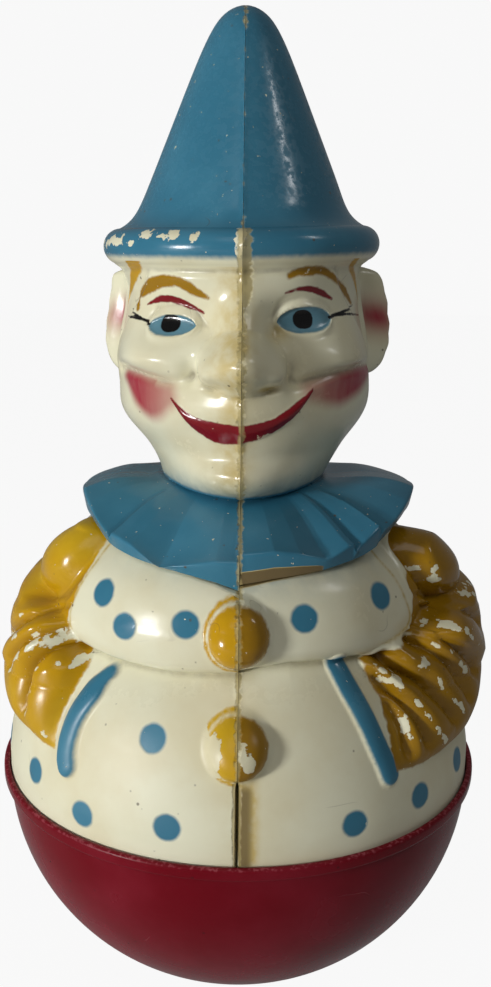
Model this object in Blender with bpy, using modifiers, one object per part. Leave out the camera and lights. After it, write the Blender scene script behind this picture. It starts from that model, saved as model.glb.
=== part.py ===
"""Roly-poly clown rattle.

A hollow clown is moulded in two halves and cemented along the middle. It stands in a round bowl
with an iron weight screwed to its floor, and loose pellets roll round the weight and rattle.

Metres, +Z up. The toy stands on a small flat under the bowl, at the origin, and faces -Y.
Left and right are the viewer's, so the left half lies at -X.
"""

import math
from collections import namedtuple

import bmesh
import bpy
import numpy as np

# Clearances
FIT = 0.0003
SEAM_GAP = 0.0003

# The belly is part of a ball. The bowl is as wide, a little shallower, and stands on a small flat
BALL_RADIUS = 0.062
BOWL_DEPTH = 0.0592
FOOT_RADIUS = 0.008

# Bowl: its wall, the lip that shows as a band, and the seat inside the lip
BOWL_WALL = 0.0022
LIP_PROUD = 0.0015
LIP_ABOVE_BALL = 0.002
LIP_HEIGHT = 0.003
SEAT_DEPTH = 0.0025
BOSS_RADIUS = 0.0045
BOSS_HEIGHT = 0.012
PILOT_FLOOR = 0.002

# Iron weight on the boss
WEIGHT_RADIUS = 0.028
WEIGHT_OVER_BOSS = 0.010
WEIGHT_CHAMFER = 0.001

# Screw and washer that hold the weight
SCREW_RADIUS = 0.002
SCREW_TIP_GAP = 0.001
SCREW_HEAD_RADIUS = 0.004
SCREW_HEAD_HEIGHT = 0.0026
SCREW_CROWN = 0.0008
SLOT_WIDTH = 0.001
SLOT_DEPTH = 0.0012
WASHER_RADIUS = 0.0065
WASHER_THICKNESS = 0.001

# Rattle pellets
PELLET_RADIUS = 0.004
PELLET_COUNT = 8

# Figure: wall, then the belly, chest, collar, head and hat as they stack
FIGURE_WALL = 0.002
WAIST_LATITUDE = math.radians(41.8)
CHEST_OVERHANG = 0.0036
CHEST_SWELL = 0.00225
CHEST_RISE = 0.0092
CHEST_LOWER_EDGE = ((0.0002, 0.0), (-0.0002, -0.0036), (-0.0014, -0.0066))
COLLAR_ABOVE_CHEST = 0.020
COLLAR_UNDERCUT = 0.005
COLLAR_UNDERSIDE = 0.003
COLLAR_EDGE = 0.0043
COLLAR_SLOPE = 0.0052
COLLAR_WIDTH = 0.0205
COLLAR_CROWN = 0.0012
NECK_RADIUS = 0.022
JAW_RADIUS = 0.0268
JAW_RISE = 0.0078
CHEEK_RADIUS = 0.0322
CHEEK_RISE = 0.0125
TEMPLE_RADIUS = 0.0288
TEMPLE_RISE = 0.0207
FOREHEAD_RISE = 0.0094
BRIM_RADIUS = 0.0345
BRIM_ROLL = 0.0043
BRIM_WIDTH = 0.007
HAT_HEIGHT = 0.0559
HAT_CROWN_RADIUS = 0.0063
HAT_CROWN_DEPTH = 0.004

# Collar: it droops in front and behind, spreads to each side, and its pleats lift and dip along the edge
NECK_DROOP = 0.003
NECK_DROOP_RISE = 0.0165
COLLAR_DROOP_FRONT = 0.0032
COLLAR_DROOP_BACK = 0.0055
COLLAR_FASCIA_EXTRA = 0.0029
COLLAR_FRONT_SPREAD = 0.0022
COLLAR_SIDE_SPREAD = {-1: -0.0017, 1: 0.002}
COLLAR_SIDE_LIFT = {-1: 0.0, 1: 0.001}
DROOP_ROUNDNESS = 1.3
NECK_DROOP_ROUNDNESS = 2.0
CHEST_DROOP_START = 0.003
PLEAT_RISE = 0.0015
PLEAT_EDGES = {
    -1: (
        (0, 1), (24, -1), (26, 0.2), (44, 0.5), (46, -0.7), (48, 0.5),
        (72, 1), (90, -0.6), (112, 1), (134, -0.6), (157, 1), (180, -0.6),
    ),
    1: (
        (0, 1), (28, -0.9), (30.5, 1), (36, 0.3), (38, -0.9), (40, 1), (47, 0.8), (50, -1),
        (54, 0.6), (76, 1), (94, -0.6), (116, 1), (138, -0.6), (160, 1), (180, -0.6),
    ),
}

# Lumps of the face: place across from the middle, height over the neck, half sizes, and rise
Lump = namedtuple("Lump", "across above half_width half_height rise")
NOSE = Lump(0.0, 0.0292, 0.0096, 0.0078, 0.0073)
NOSE_BRIDGE = Lump(0.0, 0.036, 0.0048, 0.0095, 0.0034)
NOSTRIL_WING = Lump(0.0078, 0.0252, 0.0044, 0.0042, 0.003)
CHEEK_APPLE = Lump(0.0205, 0.0288, 0.0105, 0.0062, 0.0036)
EYE_SOCKET = Lump(0.0152, 0.0378, 0.0080, 0.0050, -0.0022)
MUZZLE = Lump(0.0, 0.0185, 0.0125, 0.0055, 0.0028)
CHIN = Lump(0.0, 0.0032, 0.0150, 0.0072, 0.008)
FACE_LUMPS = (NOSE_BRIDGE, CHEEK_APPLE, EYE_SOCKET, MUZZLE, CHIN)
FACE_CAPS = (NOSE, NOSTRIL_WING)
HEAD_BACK_FLATTEN = 0.002

# Jaw and ears, which differ on the two sides
JAW_SLIMMING = {-1: 0.0032, 1: 0.0011}
JAW_SLIM_ABOVE_NECK = 0.0095
JAW_SLIM_SPREAD = 0.0085
EAR_ANGLE = math.radians(93)
EAR_ABOVE_NECK = 0.0372
EAR_HALF_WIDTH = 0.009
EAR_HALF_HEIGHT = 0.0138
EAR_RISE = {-1: 0.0058, 1: 0.0084}

# The brim lifts a little at the right
BRIM_LIFT = {-1: 0.0, 1: 0.0014}
BRIM_LIFT_FADE = 0.012

# Roundness of the relief: less is fuller, with a steeper edge
CAP_ROUNDNESS = 0.7
EAR_ROUNDNESS = 0.8
PUFF_ROUNDNESS = 0.75

# Arms: each sleeve fans round the inside of the elbow, from the shoulder to the cuff behind a pocket welt.
# Reaches and rises go by degrees round the elbow, welts by degrees from the front and height over the waist
ELBOW_ABOVE_WAIST = 0.004
SLEEVE_BACK_STRETCH = 0.82
SLEEVE_INNER_GAP = 0.06
SLEEVE_SKIRT = 1.4
SLEEVE_TOP = (34, 12)
GATHER_DEPTH = 0.2
GATHER_START = 0.2
GATHER_FULL = 0.6
WAIST_FILL = 0.0032
WAIST_FILL_SPREAD = 0.0065
CUFF_START = 0.0015
CUFF_END = 0.008
Arm = namedtuple("Arm", "elbow_angle end reaches rises creases puff welt")
ARMS = {
    -1: Arm(
        elbow_angle=math.radians(51),
        end=(-125, -108),
        reaches=((-120, 0.0275), (-95, 0.0245), (-80, 0.0225), (-47, 0.0265), (-20, 0.031), (10, 0.0335)),
        rises=((-115, 0.0048), (-97, 0.0064), (-70, 0.0095), (-35, 0.0122), (0, 0.0102), (30, 0.0062)),
        creases=(-120, -60, -35, -10, 12, 95),
        puff=Lump(0.0185, 0.014, 0.014, 0.0093, 0.0048),
        welt=((41, -0.0258), (43, -0.0145), (40.5, -0.0063), (38, -0.0014)),
    ),
    1: Arm(
        elbow_angle=math.radians(56),
        end=(-172, -150),
        reaches=((-165, 0.030), (-120, 0.0315), (-100, 0.026), (-88, 0.024), (-53, 0.025), (-8, 0.033)),
        rises=((-165, 0.0038), (-113, 0.0066), (-80, 0.0105), (-35, 0.0149), (0, 0.0124), (30, 0.009)),
        creases=(-170, -125, -95, -68, -42, -16, 12, 95),
        puff=Lump(0.017, 0.0126, 0.015, 0.0087, 0.0088),
        welt=((36.3, -0.0248), (33.8, -0.0118), (29.6, -0.0002)),
    ),
}

# Coat buttons down the middle: the upper one stands over the edge of the chest
BUTTON_HALF_WIDTH = 0.0072
BUTTON_HALF_HEIGHT = 0.0076
BUTTON_RISE = 0.0047
BUTTON_ROUNDNESS = 0.5
UPPER_BUTTON_ABOVE_WAIST = 0.0101
UPPER_BUTTON_BASE = 0.0489
LOWER_BUTTON_BELOW_WAIST = 0.0119

# How finely the shapes are divided
FIGURE_COLUMNS = 52
FIGURE_FRONT_CROWDING = 1.15
HAT_ROWS = 7
BRIM_ROWS = 6
HEAD_ROWS = 24
COLLAR_ROWS = 5
CHEST_ROWS = 15
BELLY_ROWS = 19
HOLLOW_COLUMNS = 36
HOLLOW_LEVELS = 24
HOLLOW_REACH = math.radians(11)
HOLLOW_SPREAD = 0.0035
HOLLOW_LEAST_RADIUS = 0.002
BOWL_SEGMENTS = 44
BOWL_BANDS = 11
WEIGHT_SEGMENTS = 36
WEIGHT_BANDS = 5
SMALL_SEGMENTS = 20
PELLET_SEGMENTS = 12
PELLET_RINGS = 8
SHARP_ANGLE = math.radians(40)

# Heights and radii that follow from the sizes above
BALL_Z = BOWL_DEPTH * math.sqrt(1.0 - (FOOT_RADIUS / BALL_RADIUS) ** 2)
LIP_Z = BALL_Z + LIP_ABOVE_BALL
SEAT_Z = LIP_Z - SEAT_DEPTH
BOSS_FLOOR_Z = BALL_Z - BOWL_DEPTH + BOWL_WALL
BOSS_Z = BOSS_FLOOR_Z + BOSS_HEIGHT
PILOT_Z = BOSS_FLOOR_Z + PILOT_FLOOR
SCREW_HOLE = SCREW_RADIUS + FIT
WEIGHT_Z = BOSS_Z + FIT + WEIGHT_OVER_BOSS
WASHER_Z = WEIGHT_Z + FIT
SCREW_HEAD_Z = WASHER_Z + WASHER_THICKNESS + FIT
FIGURE_FOOT = BALL_RADIUS - FIT - SEAM_GAP / 2
FIGURE_Z = SEAT_Z + FIT
WAIST_RADIUS = BALL_RADIUS * math.cos(WAIST_LATITUDE)
WAIST_Z = BALL_Z + BALL_RADIUS * math.sin(WAIST_LATITUDE)
CHEST_RADIUS = WAIST_RADIUS + CHEST_OVERHANG
CHEST_Z = WAIST_Z + CHEST_RISE
COLLAR_LOW_Z = CHEST_Z + COLLAR_ABOVE_CHEST
COLLAR_TOP_Z = COLLAR_LOW_Z + COLLAR_EDGE
COLLAR_RADIUS = NECK_RADIUS + COLLAR_WIDTH
COLLAR_UNDER_RADIUS = COLLAR_RADIUS - COLLAR_UNDERCUT
COLLAR_UNDER_Z = COLLAR_LOW_Z - COLLAR_UNDERSIDE
NECK_Z = COLLAR_TOP_Z + COLLAR_SLOPE
JAW_Z = NECK_Z + JAW_RISE
CHEEK_Z = JAW_Z + CHEEK_RISE
TEMPLE_Z = CHEEK_Z + TEMPLE_RISE
BRIM_Z = TEMPLE_Z + FOREHEAD_RISE + BRIM_ROLL
HAT_Z = BRIM_Z + HAT_HEIGHT
ELBOW_Z = WAIST_Z + ELBOW_ABOVE_WAIST


# Small formulas

def ease(start, end, value):
    """0 before start, 1 after end, and smooth between them."""
    share = np.clip((value - start) / (end - start), 0.0, 1.0)
    return share * share * (3.0 - 2.0 * share)


def lump(shape, across, above):
    """A soft bump that fades out on all sides."""
    wide = (across - shape.across) / shape.half_width
    high = (above - shape.above) / shape.half_height
    return shape.rise * np.exp(-(wide**2) - high**2)


def cap(shape, across, above, roundness=CAP_ROUNDNESS):
    """A round bump with a clear edge."""
    wide = (across - shape.across) / shape.half_width
    high = (above - shape.above) / shape.half_height
    return shape.rise * np.clip(1.0 - wide**2 - high**2, 0.0, 1.0) ** roundness


def smooth_run(points, steps):
    """Points along a Catmull-Rom curve through the given ones, the first left out."""
    first = tuple(2 * a - b for a, b in zip(points[0], points[1]))
    last = tuple(2 * a - b for a, b in zip(points[-1], points[-2]))
    knots = np.array([first, *points, last])
    run = []
    for step in range(1, steps + 1):
        place = step / steps * (len(points) - 1)
        index = min(int(place), len(points) - 2)
        t = place - index
        p0, p1, p2, p3 = knots[index : index + 4]
        curve = 2 * p1 + (p2 - p0) * t + (2 * p0 - 5 * p1 + 4 * p2 - p3) * t**2
        run.append(tuple((curve + (3 * p1 - p0 - 3 * p2 + p3) * t**3) / 2))
    return run


# Outline of the figure before its relief, from the tip of the hat to the seat in the bowl

def hat_profile():
    foot_radius = BRIM_RADIUS - BRIM_WIDTH
    cone_depth = HAT_HEIGHT - BRIM_ROLL
    points = [(0.0, HAT_Z)]
    for row in range(1, HAT_ROWS + 1):
        depth = cone_depth * (row / HAT_ROWS) ** 1.7
        crown = HAT_CROWN_RADIUS * math.sqrt(1.0 - math.exp(-depth / HAT_CROWN_DEPTH))
        taper = (foot_radius - HAT_CROWN_RADIUS) * depth / cone_depth
        points.append((crown + taper, HAT_Z - depth))
    return points


def brim_profile():
    centre = BRIM_RADIUS - BRIM_ROLL
    points = []
    for row in range(BRIM_ROWS + 1):
        turn = math.radians(100 - 210 * row / BRIM_ROWS)
        points.append((centre + BRIM_ROLL * math.cos(turn), BRIM_Z + BRIM_ROLL * math.sin(turn)))
    return points


def chest_profile():
    lower_edge = [(CHEST_RADIUS + wider, CHEST_Z + higher) for wider, higher in CHEST_LOWER_EDGE]
    swell = ((COLLAR_UNDER_RADIUS + CHEST_RADIUS) / 2 + CHEST_SWELL, (COLLAR_UNDER_Z + CHEST_Z) / 2)
    chest = [(COLLAR_UNDER_RADIUS, COLLAR_UNDER_Z), swell, *lower_edge, (WAIST_RADIUS, WAIST_Z)]
    return chest[:1] + smooth_run(chest, CHEST_ROWS)


def figure_profile():
    under_brim = brim_profile()[-1]
    head = [
        under_brim,
        (TEMPLE_RADIUS, TEMPLE_Z),
        (CHEEK_RADIUS, CHEEK_Z),
        (JAW_RADIUS, JAW_Z),
        (NECK_RADIUS, NECK_Z),
    ]
    collar = [
        (NECK_RADIUS, NECK_Z),
        ((NECK_RADIUS + COLLAR_RADIUS) / 2, (NECK_Z + COLLAR_TOP_Z) / 2 + COLLAR_CROWN),
        (COLLAR_RADIUS, COLLAR_TOP_Z),
    ]
    points = hat_profile() + brim_profile() + smooth_run(head, HEAD_ROWS) + smooth_run(collar, COLLAR_ROWS)
    points += [(COLLAR_RADIUS, COLLAR_LOW_Z)] + chest_profile()
    lowest = math.asin((LIP_Z - BALL_Z) / BALL_RADIUS)
    for row in range(1, BELLY_ROWS + 1):
        latitude = WAIST_LATITUDE + (lowest - WAIST_LATITUDE) * row / BELLY_ROWS
        belly_radius = min(BALL_RADIUS * math.cos(latitude), FIGURE_FOOT)
        points.append((belly_radius, BALL_Z + BALL_RADIUS * math.sin(latitude)))
    return points + [(FIGURE_FOOT, FIGURE_Z), (0.0, FIGURE_Z)]


# Relief of the figure: each takes the turned outline's radius and height and the turn from the front

def head_relief(radius, height, turn, side):
    above = height - NECK_Z
    across = radius * np.sin(turn)
    facing = ease(0.0, 0.35, np.cos(turn))
    rise = sum(lump(shape, across, above) for shape in FACE_LUMPS)
    rise = rise + sum(cap(shape, across, above) for shape in FACE_CAPS)
    ear_across = (turn - EAR_ANGLE) * CHEEK_RADIUS / EAR_HALF_WIDTH
    ear_above = (above - EAR_ABOVE_NECK) / EAR_HALF_HEIGHT
    ear = np.clip(1.0 - ear_across**2 - ear_above**2, 0.0, 1.0) ** EAR_ROUNDNESS
    slim = np.exp(-(((above - JAW_SLIM_ABOVE_NECK) / JAW_SLIM_SPREAD) ** 2)) * np.sin(turn)
    on_head = ease(COLLAR_TOP_Z - NECK_Z, 0.0, above) * ease(BRIM_Z, BRIM_Z - 2 * BRIM_ROLL, height)
    flat = HEAD_BACK_FLATTEN * ease(math.radians(100), math.radians(135), turn)
    return on_head * (rise * facing + EAR_RISE[side] * ear - JAW_SLIMMING[side] * slim - flat)


def brim_lift(height, turn, side):
    near_brim = ease(BRIM_LIFT_FADE + BRIM_ROLL, BRIM_ROLL, np.abs(height - BRIM_Z))
    return BRIM_LIFT[side] * np.sin(turn) * near_brim


def collar_relief(radius, height, turn, side):
    """How far the collar and the rows beside it spread and lift. The chest keeps its curve as it sinks."""
    ahead = np.clip(np.cos(turn), 0.0, 1.0) ** DROOP_ROUNDNESS
    behind = np.clip(-np.cos(turn), 0.0, 1.0) ** DROOP_ROUNDNESS
    sideways = np.sin(turn) ** 2
    on_top = ease(NECK_RADIUS, COLLAR_RADIUS, radius)
    share = np.where(height > COLLAR_TOP_Z + FIT, on_top, 1.0) * (height < NECK_Z)
    fascia = COLLAR_FASCIA_EXTRA * ease(COLLAR_TOP_Z, COLLAR_LOW_Z, height) * ahead
    edges = np.array(PLEAT_EDGES[side], float)
    pleat = PLEAT_RISE * np.interp(np.degrees(turn), edges[:, 0], edges[:, 1])
    pleat = pleat * ease(COLLAR_UNDER_Z, COLLAR_TOP_Z, height)
    lift = share * (pleat + COLLAR_SIDE_LIFT[side] * sideways - fascia)
    lift = lift - share * (COLLAR_DROOP_FRONT * ahead + COLLAR_DROOP_BACK * behind)
    lift = lift - NECK_DROOP * ahead**NECK_DROOP_ROUNDNESS * ease(NECK_Z + NECK_DROOP_RISE, NECK_Z, height)
    lift = lift * ease(CHEST_Z + CHEST_DROOP_START, COLLAR_UNDER_Z, height)
    spread = share * (COLLAR_SIDE_SPREAD[side] * sideways + COLLAR_FRONT_SPREAD * ahead)
    chest = np.array(chest_profile()[::-1])
    lowered = np.interp(height + lift, chest[:, 1], chest[:, 0]) - radius
    on_chest = (height < COLLAR_UNDER_Z + FIT) & (height > CHEST_Z)
    return np.where(on_chest, lowered, spread * (height > COLLAR_UNDER_Z + FIT)), lift


def sleeve_relief(radius, height, turn, side):
    arm = ARMS[side]
    out = (turn - arm.elbow_angle) * CHEST_RADIUS
    out = np.where(out > 0.0, out * SLEEVE_BACK_STRETCH, out)
    up = height - ELBOW_Z
    fan = np.degrees(np.arctan2(up, out))
    fan = np.where(fan > arm.end[1] + 300, fan - 360, fan)
    reaches = np.array(arm.reaches)
    rises = np.array(arm.rises)
    share = np.hypot(out, up) / np.interp(fan, reaches[:, 0], reaches[:, 1])
    inner = (1.0 - 2.0 * share) / (1.0 - SLEEVE_INNER_GAP)
    from_middle = np.where(share < 0.5, inner, 2.0 * share - 1.0)
    section = np.clip(1.0 - from_middle**2, 0.0, 1.0) ** np.where(share < 0.5, 1.0, SLEEVE_SKIRT)
    creases = np.array(arm.creases, float)
    roll = np.clip(np.searchsorted(creases, fan) - 1, 0, len(creases) - 2)
    within = np.clip((fan - creases[roll]) / (creases[roll + 1] - creases[roll]), 0.0, 1.0)
    gather = 1.0 - GATHER_DEPTH * (2.0 * within - 1.0) ** 2 * ease(GATHER_START, GATHER_FULL, share)
    rolls = np.interp(fan, rises[:, 0], rises[:, 1]) * section * gather
    rolls = rolls * ease(*arm.end, fan) * ease(*SLEEVE_TOP, fan)
    sleeve = np.maximum(rolls, cap(arm.puff, out, up, PUFF_ROUNDNESS))
    at_waist = np.exp(-(((height - WAIST_Z) / WAIST_FILL_SPREAD) ** 2))
    sleeve = sleeve + WAIST_FILL * at_waist * ease(0.0, WAIST_FILL, sleeve)
    welt = np.array(arm.welt)
    welt_turn = np.radians(np.interp(height - WAIST_Z, welt[:, 1], welt[:, 0]))
    behind_welt = (turn - welt_turn) * radius
    return sleeve * ease(CUFF_START, CUFF_END, behind_welt)


def button_relief(radius, height, turn):
    across = radius * np.sin(turn)
    rise = 0.0
    buttons = ((UPPER_BUTTON_ABOVE_WAIST, UPPER_BUTTON_BASE - radius), (-LOWER_BUTTON_BELOW_WAIST, 0.0))
    for above, base in buttons:
        button = Lump(0.0, above, BUTTON_HALF_WIDTH, BUTTON_HALF_HEIGHT, BUTTON_RISE)
        dome = cap(button, across, height - WAIST_Z, BUTTON_ROUNDNESS)
        rise = np.where(dome > 0.0, np.maximum(base, 0.0) + dome, rise)
    return rise * (turn < math.pi / 2)


def figure_surface(radius, height, turn, side):
    """The turned outline with its relief, as radius and height."""
    spread, lift = collar_relief(radius, height, turn, side)
    on_body = (height < COLLAR_UNDER_Z) & (height > LIP_Z)
    body = head_relief(radius, height, turn, side) + button_relief(radius, height, turn)
    body = body + sleeve_relief(radius, height, turn, side) * on_body
    return radius + spread + body, height + lift + brim_lift(height, turn, side)


# Scene and small builders

def clear_scene():
    for item in list(bpy.data.objects):
        bpy.data.objects.remove(item, do_unlink=True)


def collection_named(name):
    group = bpy.data.collections.new(name)
    bpy.context.scene.collection.children.link(group)
    return group


def material(name, colour, roughness, metallic=0.0):
    made = bpy.data.materials.new(name)
    made.use_nodes = True
    shader = made.node_tree.nodes["Principled BSDF"]
    shader.inputs["Base Color"].default_value = (*colour, 1.0)
    shader.inputs["Roughness"].default_value = roughness
    shader.inputs["Metallic"].default_value = metallic
    return made


def turned_mesh(name, profile, segments, angle=2 * math.pi, closed=False):
    """A profile in the XZ plane turned about Z with a Screw modifier, as a plain mesh."""
    outline = bpy.data.meshes.new(name + "_profile")
    count = len(profile)
    edges = [(i, i + 1) for i in range(count - 1)]
    if closed:
        edges.append((count - 1, 0))
    outline.from_pydata([(r, 0.0, z) for r, z in profile], edges, [])
    guide = bpy.data.objects.new(name + "_profile", outline)
    bpy.context.scene.collection.objects.link(guide)
    screw = guide.modifiers.new("Screw", "SCREW")
    screw.angle = angle
    screw.steps = segments
    screw.render_steps = segments
    screw.use_merge_vertices = True
    screw.merge_threshold = 0.00001
    graph = bpy.context.evaluated_depsgraph_get()
    mesh = bpy.data.meshes.new_from_object(guide.evaluated_get(graph))
    mesh.name = name
    bpy.data.objects.remove(guide, do_unlink=True)
    return mesh


def place(name, mesh, group, finish=None):
    item = bpy.data.objects.new(name, mesh)
    group.objects.link(item)
    if finish is None:
        item.hide_render = True
        item.display_type = "WIRE"
        return item
    mesh.materials.clear()
    mesh.materials.append(finish)
    mesh.shade_smooth()
    mesh.set_sharp_from_angle(angle=SHARP_ANGLE)
    return item


def cut(item, cutter):
    difference = item.modifiers.new("Cut " + cutter.name, "BOOLEAN")
    difference.operation = "DIFFERENCE"
    difference.object = cutter


# Figure

def figure_hollow(group):
    """The inside of the figure: at each place, the least outline close by, less the wall."""
    profile = np.array(figure_profile()[:-1])
    lengths = np.hypot(*np.diff(profile, axis=0).T)
    along = np.concatenate([[0.0], np.cumsum(lengths)])
    places = np.arange(0.0, along[-1], HOLLOW_SPREAD / 3)
    profile = np.stack([np.interp(places, along, column) for column in profile.T], axis=1)
    turns = np.linspace(0.0, math.pi, 61)
    outline = {}
    for side in (-1, 1):
        radius, height = figure_surface(profile[:, :1], profile[:, 1:], turns[None, :], side)
        outline[side] = (radius.ravel(), height.ravel(), np.broadcast_to(turns, radius.shape).ravel())
    bottom_z = FIGURE_Z - FIGURE_WALL
    levels = np.linspace(HAT_Z - 2 * FIGURE_WALL, bottom_z, HOLLOW_LEVELS)
    mesh = turned_mesh(
        "figure_hollow",
        [(0.0, levels[0])] + [(FIGURE_FOOT, z) for z in levels] + [(0.0, bottom_z)],
        HOLLOW_COLUMNS,
    )
    for vertex in mesh.vertices:
        x, y, z = vertex.co
        if math.hypot(x, y) < HOLLOW_LEAST_RADIUS:
            continue
        turn = math.atan2(abs(x), -y)
        near = []
        for side in (-1, 1):
            radius, height, at = outline[side]
            apart = np.abs(at - turn) if side * x >= 0 else at + turn
            apart = np.minimum(apart, 2 * math.pi - at - turn)
            level = np.clip(z, FIGURE_Z, None)
            near.append(radius[(apart < HOLLOW_REACH) & (np.abs(height - level) < HOLLOW_SPREAD)])
        least = max(np.concatenate(near).min() - FIGURE_WALL, HOLLOW_LEAST_RADIUS)
        vertex.co.x *= least / FIGURE_FOOT
        vertex.co.y *= least / FIGURE_FOOT
    return place("figure_hollow", mesh, group)


def figure_half(name, side, hollow, group, finish):
    """One half, turned through half a circle, given its relief and closed at the seam."""
    mesh = turned_mesh(name, figure_profile(), FIGURE_COLUMNS, math.pi)
    count = len(mesh.vertices)
    points = np.empty(count * 3)
    mesh.vertices.foreach_get("co", points)
    points = points.reshape(count, 3)
    outline = np.hypot(points[:, 0], points[:, 1])
    turn = np.abs(np.arctan2(points[:, 1], points[:, 0]))
    turn = math.pi * (turn / math.pi) ** FIGURE_FRONT_CROWDING
    radius, height = figure_surface(outline, points[:, 2], turn, side)
    radius[outline < FIT] = 0.0
    across = radius * np.sin(turn) + SEAM_GAP / 2
    shaped = np.stack([side * across, -radius * np.cos(turn), height], axis=1)
    mesh.vertices.foreach_set("co", shaped.ravel())
    shell = bmesh.new()
    shell.from_mesh(mesh)
    bmesh.ops.edgeloop_fill(shell, edges=[edge for edge in shell.edges if edge.is_boundary])
    bmesh.ops.recalc_face_normals(shell, faces=shell.faces)
    shell.to_mesh(mesh)
    shell.free()
    half = place(name, mesh, group, finish)
    cut(half, hollow)
    return half


# Bowl and what it holds

def bowl_arc(inset, from_reach, to_reach, bands):
    """Points on the bowl's curve, a given way inside it, between two distances from the axis."""
    wide = BALL_RADIUS - inset
    deep = BOWL_DEPTH - inset
    start = math.asin(from_reach / wide)
    end = math.asin(to_reach / wide)
    points = []
    for band in range(bands + 1):
        turn = start + (end - start) * band / bands
        points.append((wide * math.sin(turn), BALL_Z - deep * math.cos(turn)))
    return points


def bowl_reach(inset, height):
    """How far from the axis the bowl's curve, a given way inside it, is at a height."""
    drop = (BALL_Z - height) / (BOWL_DEPTH - inset)
    return (BALL_RADIUS - inset) * math.sqrt(1.0 - drop**2)


def base_bowl(group, finish):
    lip_radius = BALL_RADIUS + LIP_PROUD
    lip_under_z = LIP_Z - LIP_HEIGHT
    profile = [(0.0, PILOT_Z), (SCREW_HOLE, PILOT_Z), (SCREW_HOLE, BOSS_Z), (BOSS_RADIUS, BOSS_Z)]
    profile += bowl_arc(BOWL_WALL, BOSS_RADIUS, bowl_reach(BOWL_WALL, SEAT_Z), BOWL_BANDS)
    profile += [(BALL_RADIUS, SEAT_Z), (BALL_RADIUS, LIP_Z), (lip_radius, LIP_Z), (lip_radius, lip_under_z)]
    profile += bowl_arc(0.0, bowl_reach(0.0, lip_under_z), FOOT_RADIUS, BOWL_BANDS)
    profile += [(0.0, 0.0)]
    return place("base_bowl", turned_mesh("base_bowl", profile, BOWL_SEGMENTS), group, finish)


def counterweight(group, finish):
    dome = bowl_arc(BOWL_WALL + FIT, WEIGHT_RADIUS, BOSS_RADIUS + FIT, WEIGHT_BANDS)
    profile = [
        (SCREW_HOLE, WEIGHT_Z),
        (WEIGHT_RADIUS - WEIGHT_CHAMFER, WEIGHT_Z),
        (WEIGHT_RADIUS, WEIGHT_Z - WEIGHT_CHAMFER),
        *dome,
        (BOSS_RADIUS + FIT, BOSS_Z + FIT),
        (SCREW_HOLE, BOSS_Z + FIT),
    ]
    mesh = turned_mesh("counterweight", profile, WEIGHT_SEGMENTS, closed=True)
    return place("counterweight", mesh, group, finish)


def weight_washer(group, finish):
    top_z = WASHER_Z + WASHER_THICKNESS
    profile = [(SCREW_HOLE, top_z), (WASHER_RADIUS, top_z), (WASHER_RADIUS, WASHER_Z), (SCREW_HOLE, WASHER_Z)]
    mesh = turned_mesh("weight_washer", profile, SMALL_SEGMENTS, closed=True)
    return place("weight_washer", mesh, group, finish)


def weight_screw(group, cutters, finish):
    tip_z = PILOT_Z + SCREW_TIP_GAP
    head_top = SCREW_HEAD_Z + SCREW_HEAD_HEIGHT
    profile = [
        (0.0, head_top),
        (SCREW_HEAD_RADIUS / 2, head_top - SCREW_CROWN / 4),
        (SCREW_HEAD_RADIUS, head_top - SCREW_CROWN),
        (SCREW_HEAD_RADIUS, SCREW_HEAD_Z),
        (SCREW_RADIUS, SCREW_HEAD_Z),
        (SCREW_RADIUS, tip_z + SCREW_RADIUS),
        (0.0, tip_z),
    ]
    mesh = turned_mesh("weight_screw", profile, SMALL_SEGMENTS)
    screw = place("weight_screw", mesh, group, finish)
    slot_mesh = bpy.data.meshes.new("driver_slot")
    slot = bmesh.new()
    bmesh.ops.create_cube(slot, size=1.0)
    bmesh.ops.scale(slot, vec=(4 * SCREW_HEAD_RADIUS, SLOT_WIDTH, 2 * SLOT_DEPTH), verts=slot.verts)
    slot.to_mesh(slot_mesh)
    slot.free()
    cutter = place("driver_slot", slot_mesh, cutters)
    cutter.location.z = head_top
    cut(screw, cutter)
    return screw


def rattle_pellets(group, finish):
    """Pellets spaced round the weight, parented to an empty on the axis that they roll about."""
    ring_radius = WEIGHT_RADIUS + FIT + PELLET_RADIUS
    inset = BOWL_WALL + FIT + PELLET_RADIUS
    ring_turn = math.asin(ring_radius / (BALL_RADIUS - inset))
    ring_z = BALL_Z - (BOWL_DEPTH - inset) * math.cos(ring_turn)
    axis = bpy.data.objects.new("pellet_axis", None)
    axis.location.z = ring_z
    group.objects.link(axis)
    mesh = bpy.data.meshes.new("rattle_pellet")
    ball = bmesh.new()
    bmesh.ops.create_uvsphere(
        ball, u_segments=PELLET_SEGMENTS, v_segments=PELLET_RINGS, radius=PELLET_RADIUS
    )
    ball.to_mesh(mesh)
    ball.free()
    for number in range(PELLET_COUNT):
        pellet = place(f"rattle_pellet_{number + 1}", mesh, group, finish)
        turn = 2 * math.pi * number / PELLET_COUNT
        pellet.parent = axis
        pellet.location = (ring_radius * math.sin(turn), -ring_radius * math.cos(turn), 0.0)


clear_scene()
toy = collection_named("clown_rattle")
cutters = collection_named("cutters")
cream_plastic = material("cream_plastic", (0.80, 0.74, 0.60), 0.35)
red_plastic = material("red_plastic", (0.30, 0.012, 0.03), 0.38)
cast_iron = material("cast_iron", (0.09, 0.085, 0.08), 0.7, 0.8)
plated_steel = material("plated_steel", (0.55, 0.54, 0.5), 0.35, 1.0)
pellet_plastic = material("pellet_plastic", (0.75, 0.62, 0.36), 0.45)
inside = figure_hollow(cutters)
figure_half("figure_left_half", -1, inside, toy, cream_plastic)
figure_half("figure_right_half", 1, inside, toy, cream_plastic)
base_bowl(toy, red_plastic)
counterweight(toy, cast_iron)
weight_washer(toy, plated_steel)
weight_screw(toy, cutters, plated_steel)
rattle_pellets(toy, pellet_plastic)
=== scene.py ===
import math

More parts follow.
